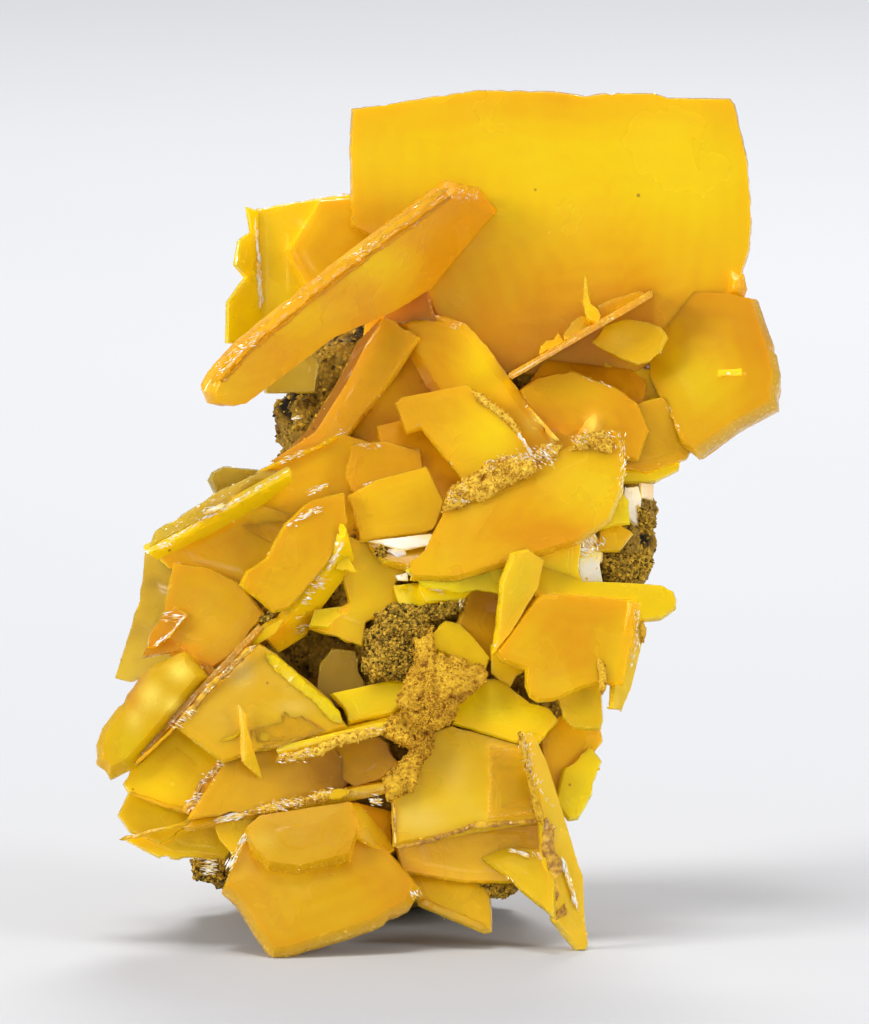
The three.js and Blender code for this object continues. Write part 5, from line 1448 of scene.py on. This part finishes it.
def rust_material():
    """A thin rusty film over crystal: reddish brown in grainy patches, golden between them."""
    material, tree, shader, place = new_material("rust_film")
    grain = noise(tree, place, 2200, 3, 0.6)
    stain = ranged(tree, noise(tree, place, 480, 3), 0.48, 0.7)
    tint = blended(tree, ranged(tree, grain, 0.35, 0.65), (0.30, 0.12, 0.008, 1),
                   (0.66, 0.34, 0.012, 1))
    tint = blended(tree, stain, tint, (0.88, 0.52, 0.02, 1))
    set_sockets(tree, shader, Base_Color=tint, Normal=relief_of(tree, grain, 0.5, 0.0002),
                Roughness=0.32, Coat_Weight=0.3)
    return material


def painted_glint_material():
    """Glossy shards, golden to white by their own random shade; the white is a painted glint."""
    material, tree, shader, _ = new_material("painted_glint_shard")
    own = attribute(tree, "pit")
    tint = blended(tree, ranged(tree, own, 0.1, 0.4), (1.0, 0.60, 0.02, 1), (1.0, 0.86, 0.40, 1))
    tint = blended(tree, ranged(tree, own, 0.35, 0.6), tint, (1.0, 0.99, 0.93, 1))
    set_sockets(tree, shader, Base_Color=tint, Roughness=0.1, IOR=1.7, Coat_Weight=0.5,
                Coat_Roughness=0.05)
    return material


# ---- camera, stage and light ----
FLOOR_RADIUS, FLOOR_SIDES = 2.2, 96
LIT_POINT = (0.0, 0.0, 0.05)  # what the lamps face
# Each lamp's place, size, power and colour.
LIGHTS = {
    "left_light": ((-1.15, -0.6, 0.6), 0.4, 10.7, (1.0, 0.98, 0.95)),
    "right_light": ((1.15, -0.65, 0.45), 0.4, 7.2, (0.97, 0.98, 1.0)),
    "front_light": ((-0.2, -1.6, 0.04), 0.4, 4.4, (1.0, 0.99, 0.96)),
    "top_light": ((-0.1, -0.3, 1.3), 0.35, 5.8, (1.0, 1.0, 1.0)),
    "back_light": ((0.1, 0.8, 0.75), 0.4, 6.0, (1.0, 1.0, 1.0)),
}


def turned_to(eye, target):
    """The rotation that looks from one point to another, with up kept up."""
    direction = target - eye
    flat = math.hypot(direction[0], direction[1])
    return (math.pi / 2 + math.atan2(direction[2], flat), 0.0,
            math.atan2(direction[1], direction[0]) - math.pi / 2)


def add_camera():
    """A long lens that looks square at the face, as far away as it is long."""
    target = to_specimen(np.array(VIEW_CENTRE))
    eye = target + VIEW_DISTANCE * MM * np.array([0.0, -math.cos(LEAN), math.sin(LEAN)])
    data = bpy.data.cameras.new("camera")
    data.lens = data.sensor_width * VIEW_DISTANCE / VIEW_HEIGHT
    data.clip_start, data.clip_end = 0.1, 20.0
    camera = bpy.data.objects.new("camera", data)
    camera.location, camera.rotation_euler = eye, turned_to(eye, target)
    bpy.context.collection.objects.link(camera)
    bpy.context.scene.camera = camera


def add_light(name, place, size, power, colour):
    """A square soft light that faces the middle of the specimen."""
    data = bpy.data.lights.new(name, "AREA")
    data.size, data.energy, data.color = size, power, colour
    light = bpy.data.objects.new(name, data)
    light.location = place
    light.rotation_euler = turned_to(np.array(place), np.array(LIT_POINT))
    bpy.context.collection.objects.link(light)


def add_stage():
    """A pale round floor, soft lamps and a pale sky."""
    turns = np.linspace(0, 2 * np.pi, FLOOR_SIDES, endpoint=False)
    points = FLOOR_RADIUS * np.stack([np.cos(turns), np.sin(turns), 0 * turns], axis=-1)
    mesh = bpy.data.meshes.new("floor")
    mesh.from_pydata(points.tolist(), [], [list(range(FLOOR_SIDES))])
    material, tree, shader, place = new_material("floor_paper")
    tint = blended(tree, noise(tree, place, 5, 3), (0.60, 0.605, 0.615, 1), (0.65, 0.65, 0.66, 1))
    set_sockets(tree, shader, Base_Color=tint, Roughness=0.85)
    mesh.materials.append(material)
    floor = bpy.data.objects.new("floor", mesh)
    bpy.context.collection.objects.link(floor)
    for name, light in LIGHTS.items():
        add_light(name, *light)
    world = bpy.data.worlds.new("pale_room")
    world.use_nodes = True
    set_sockets(world.node_tree, world.node_tree.nodes["Background"], Color=(0.9, 0.93, 1.0, 1),
                Strength=0.38)
    bpy.context.scene.world = world
    bpy.context.scene.view_settings.view_transform = "Standard"


# ---- assembly ----
# Ridges of crystal along the rims: the kind, its tone, what they lie on, the width, the rise, and
# the path. A path lies on a tablet, with a lift in front of it, as [x, z] points, or has [x, y, z]
# points.
RIDGES = [
    ("brown_crystal", 0.7, ("long_blade", 0, 0.1), 1.0, 0.3, [
        [-26, 65.9], [-22.4, 70], [-15, 76.2], [-8.6, 81]]),
    ("golden_crystal", -0.8, ("long_blade", 0, -0.1), 0.6, 0.25, [
        [-25, 65.9], [-21.2, 70], [-14, 75.9], [-7.6, 80.9], [-3, 84.2], [1.6, 87.6]]),
    ("brown_crystal", 0.5, ("long_blade", 0, 0.1), 0.9, 0.35, [
        [-9, 80.8], [-4.8, 84.1], [1.3, 88.5]]),
    ("golden_crystal", 0.2, ("crest_plate", 0, 0.4), 0.6, 0.4, [
        [-21, 55.6], [-17.5, 57.2], [-14, 58.6], [-11.2, 60.2]]),
    ("lemon_crystal", 0.7, ("frosted_plate", 0, 0.1), 1.3, 0.35, [
        [-19.9, 35.2], [-17.4, 32.9], [-13, 29.2], [-10.9, 26.8]]),
    ("lemon_crystal", 0.3, ("frosted_plate", 0, 0.0), 0.4, 0.2, [
        [-25, 24.9], [-23.6, 25.3], [-22.4, 26.2]]),
    ("rust_film", 0, None, 0.8, 0.45, [
        [-20.8, -3.6, 36], [-22.5, -3.6, 34.6], [-26.2, -3.8, 31.1], [-28.6, -4, 28.2],
        [-30.2, -4, 26.4]]),
    ("golden_crystal", 0, None, 0.4, 0.3, [[-30, -4, 26.7], [-32, -4.1, 24.8], [-34.7, -4.2, 22.3]]),
    ("rust_film", 0, None, 0.6, 0.4, [[-24.6, -3.9, 22.4], [-27, -4, 20.2], [-28.8, -3.9, 17]]),
    ("lemon_crystal", 0, None, 0.5, 0.3, [
        [-36.6, -0.4, 13.5], [-31, -2.4, 15], [-25.8, -3.4, 16.2]]),
    ("golden_crystal", 0, None, 1.0, 0.5, [[-29, -3, 15.1], [-25.4, -3.2, 15.9], [-22.6, -3.4, 16.5]]),
    ("golden_crystal", 0, ("apron_plate", 0, 0.2), 0.5, 0.3, [
        [-35.4, 19], [-31.5, 17.6], [-28.8, 17]]),
    ("rust_film", 0, ("white_plate", 0, 0.0), 0.65, 0.3, [
        [-4.8, 12.7], [-1, 13.6], [2, 14.6], [4, 15.2], [8, 15.6], [11.8, 15.7]]),
    ("rust_film", 0, ("white_plate", 0, 0.0), 0.3, 0.2, [[-5.1, 18], [-4.9, 15], [-4.8, 12.9]]),
    ("rust_film", 0, ("spike_plates", 0, 0.2), 1.5, 0.25, [
        [12.5, 16.2], [12.8, 14.4], [12.7, 12.6], [13.3, 10.4], [13.3, 8.6]]),
    ("rust_film", 0, ("spike_plates", 0, 0.2), 0.7, 0.15, [[13.3, 9.4], [13.5, 6.6]]),
    ("rust_film", 0, ("spike_plates", 0, 0.25), 1.3, 0.2, [[14.6, 6.3], [14.1, 5.2], [13.6, 4.4]]),
    ("golden_crystal", 0.0, ("keel_plate", 0, 0.0), 0.8, 0.12, [
        [-2.4, 6.7], [1.5, 5.1], [5.7, 3.4]]),
]

# Rows of shards whose near-white colour is a painted glint: what they lie on, how far they spread,
# their spacing, their length, how they lean from the path, and the path.
GLINTS = [
    (("long_blade", 0, 0.5), 0.35, 0.16, 0.4, 15, [[-25, 67.4], [-23.4, 69.2], [-20, 71.8]]),
    (("long_blade", 0, 0.5), 0.3, 1.6, 0.26, 10, [
        [-26, 65.9], [-22.4, 70], [-15, 76.2], [-9, 80.8], [-4.8, 84.1], [1.3, 88.5], [4.5, 87.6]]),
    (("long_blade", 0, 0.5), 0.35, 0.16, 0.35, 10, [[-9.5, 80.4], [-6, 83]]),
    (("long_blade", 0, 0.6), 0.5, 0.12, 0.2, 60, [[0, 87.6], [2.4, 88.4], [4.4, 87.4]]),
    (("crest_blade", 0, 0.3), 0.1, 0.16, 0.4, 4, [[-32, 47.4], [-24, 52], [-17.4, 55.8]]),
    (("crest_blade", 0, 0.3), 0.12, 0.06, 0.8, 2, [[-28.2, 50.3], [-25, 51.9]]),
    (("crest_blade", 1, 0.2), 0.3, 0.4, 0.3, 4, [[-31.4, 49], [-26.5, 52], [-20.6, 55.4]]),
    (("crest_blade", 0, 0.2), 0.25, 0.12, 0.3, 55, [[-32, 47], [-31, 47.8], [-30, 48.3]]),
    (("crest_plate", 0, 0.9), 0.2, 0.1, 0.4, 8, [[-18, 56.9], [-15.6, 58]]),
    (("crest_plate", 0, 0.9), 0.25, 0.08, 0.3, 20, [[-11.7, 59.8], [-10.9, 60.5]]),
    (("orange_tablet", 0, 0.2), 0.18, 0.04, 0.4, 5, [[-8.3, 54.2], [-7, 54.5]]),
    (("orange_tablet", 0, 0.2), 0.15, 0.1, 0.3, 5, [[-9.2, 59], [-6.8, 58.8]]),
    (("knee_plate", 0, 0.1), 0.2, 0.06, 0.35, 12, [[-17.2, 49.7], [-16, 50.3], [-13.6, 51.7]]),
    (("knee_plate", 0, 0.2), 0.2, 0.08, 0.4, 5, [[-14.9, 53.3], [-12.7, 54.2]]),
    (("comb_blade", 0, 0.1), 0.25, 0.09, 0.5, 62, [[-15.4, 40.6], [-14, 42.6], [-12.8, 44]]),
    (("comb_blade", 0, 0.1), 0.15, 0.1, 0.5, 10, [[-12.6, 44.6], [-11, 47.6]]),
    (("comb_blade", 0, 0.1), 0.25, 0.1, 0.4, 40, [[-16.2, 39], [-15.4, 39.5]]),
    (("comb_blade", 0, 0.1), 0.25, 0.07, 0.4, 30, [[-16.4, 37.4], [-15.2, 38.4]]),
    (("rust_plate", 1, 0.1), 0.1, 0.12, 0.5, 3, [[-32.6, 35.9], [-31, 37], [-28.9, 39.4]]),
    (("rust_plate", 1, 0.1), 0.3, 0.12, 0.6, 25, [[-31.2, 38.7], [-29.6, 39.5]]),
    (None, 0.3, 0.1, 0.3, 10, [[-22.8, -4.1, 34.2], [-24.8, -4.1, 32.6]]),
    (None, 0.3, 0.12, 0.3, 10, [[-25.8, -4.3, 31.4], [-26.4, -4.3, 30.6]]),
    (None, 0.25, 0.08, 0.4, 70, [[-28, -4.5, 28.6], [-30.3, -4.5, 26.4]]),
    (None, 0.15, 0.04, 0.6, 5, [[-25.2, -4, 15.9], [-22.6, -3.9, 16.4]]),
    (None, 0.35, 0.05, 0.3, 30, [[-18.8, -3.9, 17.3], [-15.4, -3.8, 18.1]]),
    (None, 0.3, 0.07, 0.3, 40, [[-14.6, -3.8, 18.6], [-11.6, -3.8, 19.2]]),
    (None, 0.3, 0.12, 0.3, 15, [[-22, -3.8, 16.8], [-18.8, -3.8, 17.4]]),
    (None, 0.35, 0.08, 0.3, 25, [[-18.2, -5, 23], [-14, -5, 23.8]]),
    (None, 0.25, 0.1, 0.35, 15, [[-8, -5, 26], [-6.6, -5, 26.6]]),
    (None, 0.3, 0.1, 0.3, 60, [[-24.8, -4.2, 22.4], [-27, -4.3, 20.2]]),
    (None, 0.35, 0.05, 0.4, 50, [[-27.4, -4.3, 19], [-28.4, -4.2, 17.2]]),
    (None, 0.3, 0.05, 0.5, 20, [[-7.6, -4.2, 18], [-6.4, -4.2, 18.2]]),
    (("bottom_plate", 0, 0.5), 0.2, 0.07, 0.5, 5, [[-22, 14.4], [-23.2, 12], [-23.9, 10.4]]),
    (("left_edge_blade", 0, 0.2), 0.06, 0.25, 0.8, 2, [[-21, 84.5], [-20.7, 80], [-20.4, 75]]),
    (("left_edge_blade", 0, 0.2), 0.08, 0.1, 0.9, 2, [[-20.8, 79.6], [-20.4, 75.6]]),
    (("centre_plate", 0, 1.1), 0.6, 0.02, 0.26, 45, [
        [5.8, 55.8], [8, 56.6], [10.5, 57.2], [13.4, 58]]),
    (("centre_plate", 0, 1.0), 0.5, 0.05, 0.3, 45, [[1.4, 52.6], [3.4, 53.6]]),
    (("centre_plate", 0, 0.8), 0.3, 0.06, 0.25, 45, [[15.4, 59.4], [20.2, 60]]),
    (("centre_plate", 0, 0.3), 0.25, 0.12, 0.3, 15, [[20.8, 60.2], [21.4, 57], [21, 54]]),
    (("pointed_plate", 0, 0.3), 0.08, 0.05, 0.5, 2, [[9.4, 60], [10.8, 57.8]]),
    (("glint_plates", 2, 0.2), 0.5, 0.06, 0.5, 25, [[16, 48.8], [18.6, 47]]),
    (("glint_plates", 3, 0.2), 0.3, 0.08, 0.5, 30, [[15.6, 46.2], [17.8, 46.8]]),
    (("right_fan_plates", 3, 0.2), 0.15, 0.1, 0.3, 5, [[23, 40], [22.8, 36.5], [22.2, 33.6]]),
    (("lip_plates", 1, 0.2), 0.3, 0.08, 0.4, 10, [[-0.8, 42.4], [0.8, 42.2]]),
    (("lip_plates", 1, 0.3), 0.12, 0.12, 0.4, 5, [[2.5, 40.1], [2.7, 41]]),
    (("hook_plates", 1, 0.3), 0.1, 0.1, 0.35, 5, [[24.5, 57.9], [24.7, 58.6]]),
    (("right_plate", 0, 0.1), 0.15, 0.3, 0.22, 10, [[26, 63.8], [28.2, 60]]),
    (("right_plate", 0, 0.1), 0.06, 0.15, 0.22, 5, [[35.2, 66.7], [35.3, 67.2]]),
    (("spike_plates", 0, 0.5), 0.35, 0.06, 0.2, 30, [[9.8, 26], [10.4, 23], [11.3, 19.6]]),
    (("spike_plates", 0, 0.4), 0.12, 0.15, 0.25, 10, [[11.5, 19.5], [13.2, 17.4]]),
    (("spike_plates", 0, 0.3), 0.1, 0.06, 0.7, 2, [[14.3, 11.2], [14.9, 9.2], [16, 6]]),
    (("spike_plates", 1, 0.2), 0.1, 0.04, 0.5, 3, [[8.5, 12.4], [10.4, 11.8]]),
    (("spike_plates", 1, 0.2), 0.2, 0.06, 0.3, 30, [[11, 12], [12.2, 11.6]]),
    (("spike_plates", 1, 0.1), 0.06, 0.2, 0.25, 5, [[7.8, 9.6], [8.6, 8.9]]),
    (("bottom_plate", 0, 0.2), 0.2, 0.08, 0.35, 50, [[-3.2, 7.4], [-2, 7.2]]),
    (("saddle_plates", 0, 0.1), 0.1, 0.25, 0.25, 5, [[16.4, 66.9], [20.2, 65.4]]),
    (("upper_left_plates", 0, 0.1), 0.05, 0.25, 0.3, 2, [[-21, 86], [-10.2, 88]]),
    (None, 0.12, 0.05, 0.35, 20, [[-16.7, 7.4, 61.9], [-15.9, 7.4, 62.1]]),
    (None, 0.4, 0.03, 0.5, 20, [[-26.9, -1.6, 10.4], [-25.6, -1.6, 10.7]]),
]


def add_crystals(parts, materials):
    """The crystals, each with the material of its kind."""
    for kind, pieces in KINDS.items():
        for name in pieces:
            piece = make_piece(f"{name}_crystal", parts[name], materials[kind])
            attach(piece, "root")
            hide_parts(name)


def add_trim(parts, materials):
    """The shards painted as glints, and the ridges and rusty films along the rims, one piece a kind."""
    rng = np.random.default_rng(TRIM_SEED)
    shards = [rim_splinters(list(parts.values()), rng)] + [
        shards_along(laid_on(base, path), spread, spacing, length, lean, rng)
        for base, spread, spacing, length, lean, path in GLINTS
    ]
    trim = {"painted_glint_shards": (shards, painted_glint_material())}
    for kind in sorted({row[0] for row in RIDGES}):
        rows = [ridge(laid_on(base, path), width, rise, tone, rng)
                for other, tone, base, width, rise, path in RIDGES if other == kind]
        trim[f"{kind}_ridges"] = (rows, materials[kind])
    for name, (rows, material) in trim.items():
        piece = make_piece(name, merged(rows), material)
        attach(piece, "root")


def add_specimen():
    """The crystals and what lies on them."""
    growth = growth_group()
    materials = {name: crystal_material(name, growth, *look)
                 for name, look in CRYSTAL_LOOKS.items()}
    materials["rust_film"] = rust_material()
    parts = grow_crystals()
    add_painted_recess_shade(list(parts.values()))
    add_crystals(parts, materials)
    add_trim(parts, materials)


# Pads of crust: what each lies on, its thickness, and its outline.
OCHRE_PADS = [
    (("dome_plate", 0, 0.3), 1.3, [
        [0.5, 35.2], [2.5, 35], [4.5, 33.5], [5.4, 31.6], [2.8, 29.4], [1.6, 26.9], [-1.6, 26],
        [-4.4, 29.2], [-4.2, 32], [-2.6, 33.6], [-2.8, 36.4], [-0.8, 37.4], [-0.4, 35]]),
    (("white_plate", 0, 0.6), 1.4, [
        [-0.2, 27], [-0.5, 24], [-2, 22], [-3, 18.7], [-6, 18.5], [-7, 20], [-4.5, 22.3],
        [-3, 23.8], [-6, 25.3], [-6.5, 27], [-4.4, 29.2], [-1.4, 29]]),
]
EDGE_PADS = [
    (("centre_plate", 0, 0.1), 0.9, [
        [0.6, 51.2], [2.4, 51.6], [4.4, 53.6], [3.4, 54.9], [1.4, 53.8]]),
    (("centre_plate", 0, 0.1), 1.2, [
        [3.4, 52.6], [6, 52.8], [8.5, 54.6], [11.2, 55.6], [11.4, 57.4], [8.4, 57.6],
        [5.6, 56.6], [3.6, 54.8]]),
    (("centre_plate", 0, 0.1), 0.9, [[11, 56.9], [13.8, 57.7], [14.2, 58.8], [12, 58.8]]),
    (("centre_plate", 0, 0.0), 0.9, [
        [15, 58.2], [17.4, 58.4], [19.8, 58], [20.2, 59.2], [19, 60.4], [16.2, 59.8]]),
]
DRUSE_PADS = [
    (None, 1.5, [
        [-8.6, -0.2, 35.5], [-8, -0.4, 37.6], [-6.6, -0.4, 39.4], [-4.4, -0.5, 40],
        [-2, -0.5, 39.6], [-0.6, -0.6, 38], [-0.9, -0.8, 35.6], [-2.4, -0.8, 33.2],
        [-4.5, -0.8, 31.8], [-7.6, -0.6, 31.8], [-8.4, -0.4, 33.4]]),
    (None, 1.3, [
        [18.7, 2.4, 46.2], [19, 2.4, 43.2], [21, 2.4, 42.9], [23.4, 3.4, 43.6], [24.3, 4, 45.2],
        [24.2, 4, 46.6], [22, 3, 46.2]]),
    (None, 0.9, [[3.6, -0.4, 8.6], [4.6, -0.6, 7.4], [7.6, -0.8, 7], [8.8, -0.8, 8.4], [6, -0.6, 9]]),
    (None, 1.0, [
        [22.8, 3.6, 51.8], [22.8, 3.6, 49.4], [24, 4.2, 48.6], [24.7, 4.6, 50.4]]),
    (None, 0.4, [[-7.3, 0, 46.3], [-6.2, 0, 46.1], [-5.9, 0, 46.9], [-6.8, 0, 47.3]]),
    (None, 0.4, [[-20.3, -1.9, 38.9], [-19.6, -1.9, 39.7], [-19, -1.9, 39.4], [-19.4, -1.9, 38.7]]),
    (None, 0.7, [
        [-7.4, -0.6, 39.3], [-5, -0.8, 40.7], [-2, -0.8, 40.3], [1.6, -0.6, 41], [3.2, -0.6, 40.2],
        [1, -0.6, 39.2], [-3, -0.6, 38.6]]),
    (None, 1.2, [
        [-28.2, 0.6, 11.2], [-28, 0.6, 9.2], [-26, 0.6, 8.6], [-24.6, 0.6, 8.8],
        [-24.4, 0.4, 11]]),
]

# Strips of crust along the rims: what they lie on, the width, and the path.
OCHRE_STRIPS = [
    (("white_plate", 0, 0), 0.9, [[11.4, 16.4], [11.2, 20], [10.6, 23.4]]),
    (("spike_plates", 0, 0), 0.7, [
        [9.4, 25.9], [10.3, 22], [11.1, 18], [12, 15.4]]),
    (("right_fan_plates", 0, 0), 0.8, [[18.4, 34.4], [18.9, 32.6], [18.9, 30.4]]),
    (("right_fan_plates", 3, 0), 0.9, [[23.3, 38.7], [23.5, 37.4], [23.3, 36.2]]),
]
EDGE_STRIPS = [
    (("pointed_plate", 0, 0), 0.7, [[4.2, 65], [5.5, 63.8], [8.4, 61.6], [9.3, 60.2]]),
    (None, 1.0, [[-24.6, -3.4, 16.2], [-21, -3.4, 16.9], [-17.6, -3.4, 17.7], [-10, -3.4, 19.2]]),
    (None, 1.1, [[-18.4, -4.6, 22.8], [-14, -4.6, 23.8], [-10.8, -4.6, 25.2], [-6, -4.6, 26.2]]),
]


def add_rock():
    """The matrix with its druse, and the sandy crusts."""
    rng = np.random.default_rng(ROCK_SEED)
    grains = grain_group()
    looks = {name: grain_material(name, grains, *look) for name, look in GRAIN_LOOKS.items()}
    height = rng.uniform(*DRUSE_HEIGHTS, DRUSE_GRAINS)
    spots, _ = rock_skin(height, rng.uniform(0, 2 * np.pi, DRUSE_GRAINS))
    sizes = rng.uniform(*DRUSE_SIZES, DRUSE_GRAINS)
    druse = scattered(OCTAHEDRON, OCTAHEDRON_FACES, spots, sizes, rng)

    def crust(pads, strips, share, size):
        laid = [crust_pad(laid_on(base, outline), thick) for base, thick, outline in pads]
        laid += [crust_strip(laid_on(base, path), width) for base, width, path in strips]
        return with_grains(merged(laid), share, size, rng)

    for name, part, look, slot, node in (
        ("matrix_rock", rock_surface(), "dark_matrix", "matrix", "matrix"),
        ("matrix_druse", merged([druse, crust(DRUSE_PADS, [], 0.5, 0.2)]), "golden_druse",
         "matrix", "matrix"),
        ("ochre_crust_pad", crust(OCHRE_PADS, OCHRE_STRIPS, 0.3, 0.13), "ochre_crust", "crust",
         "ochre_crust"),
        ("edge_crust_pad", crust(EDGE_PADS, EDGE_STRIPS, 0.4, 0.15), "edge_crust", "crust",
         "edge_crust"),
    ):
        piece = make_piece(name, part, looks[look], ROCK_SHARP_ANGLE)
        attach(piece, "root")
        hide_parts(node)


add_camera()
add_stage()
add_specimen()
add_rock()
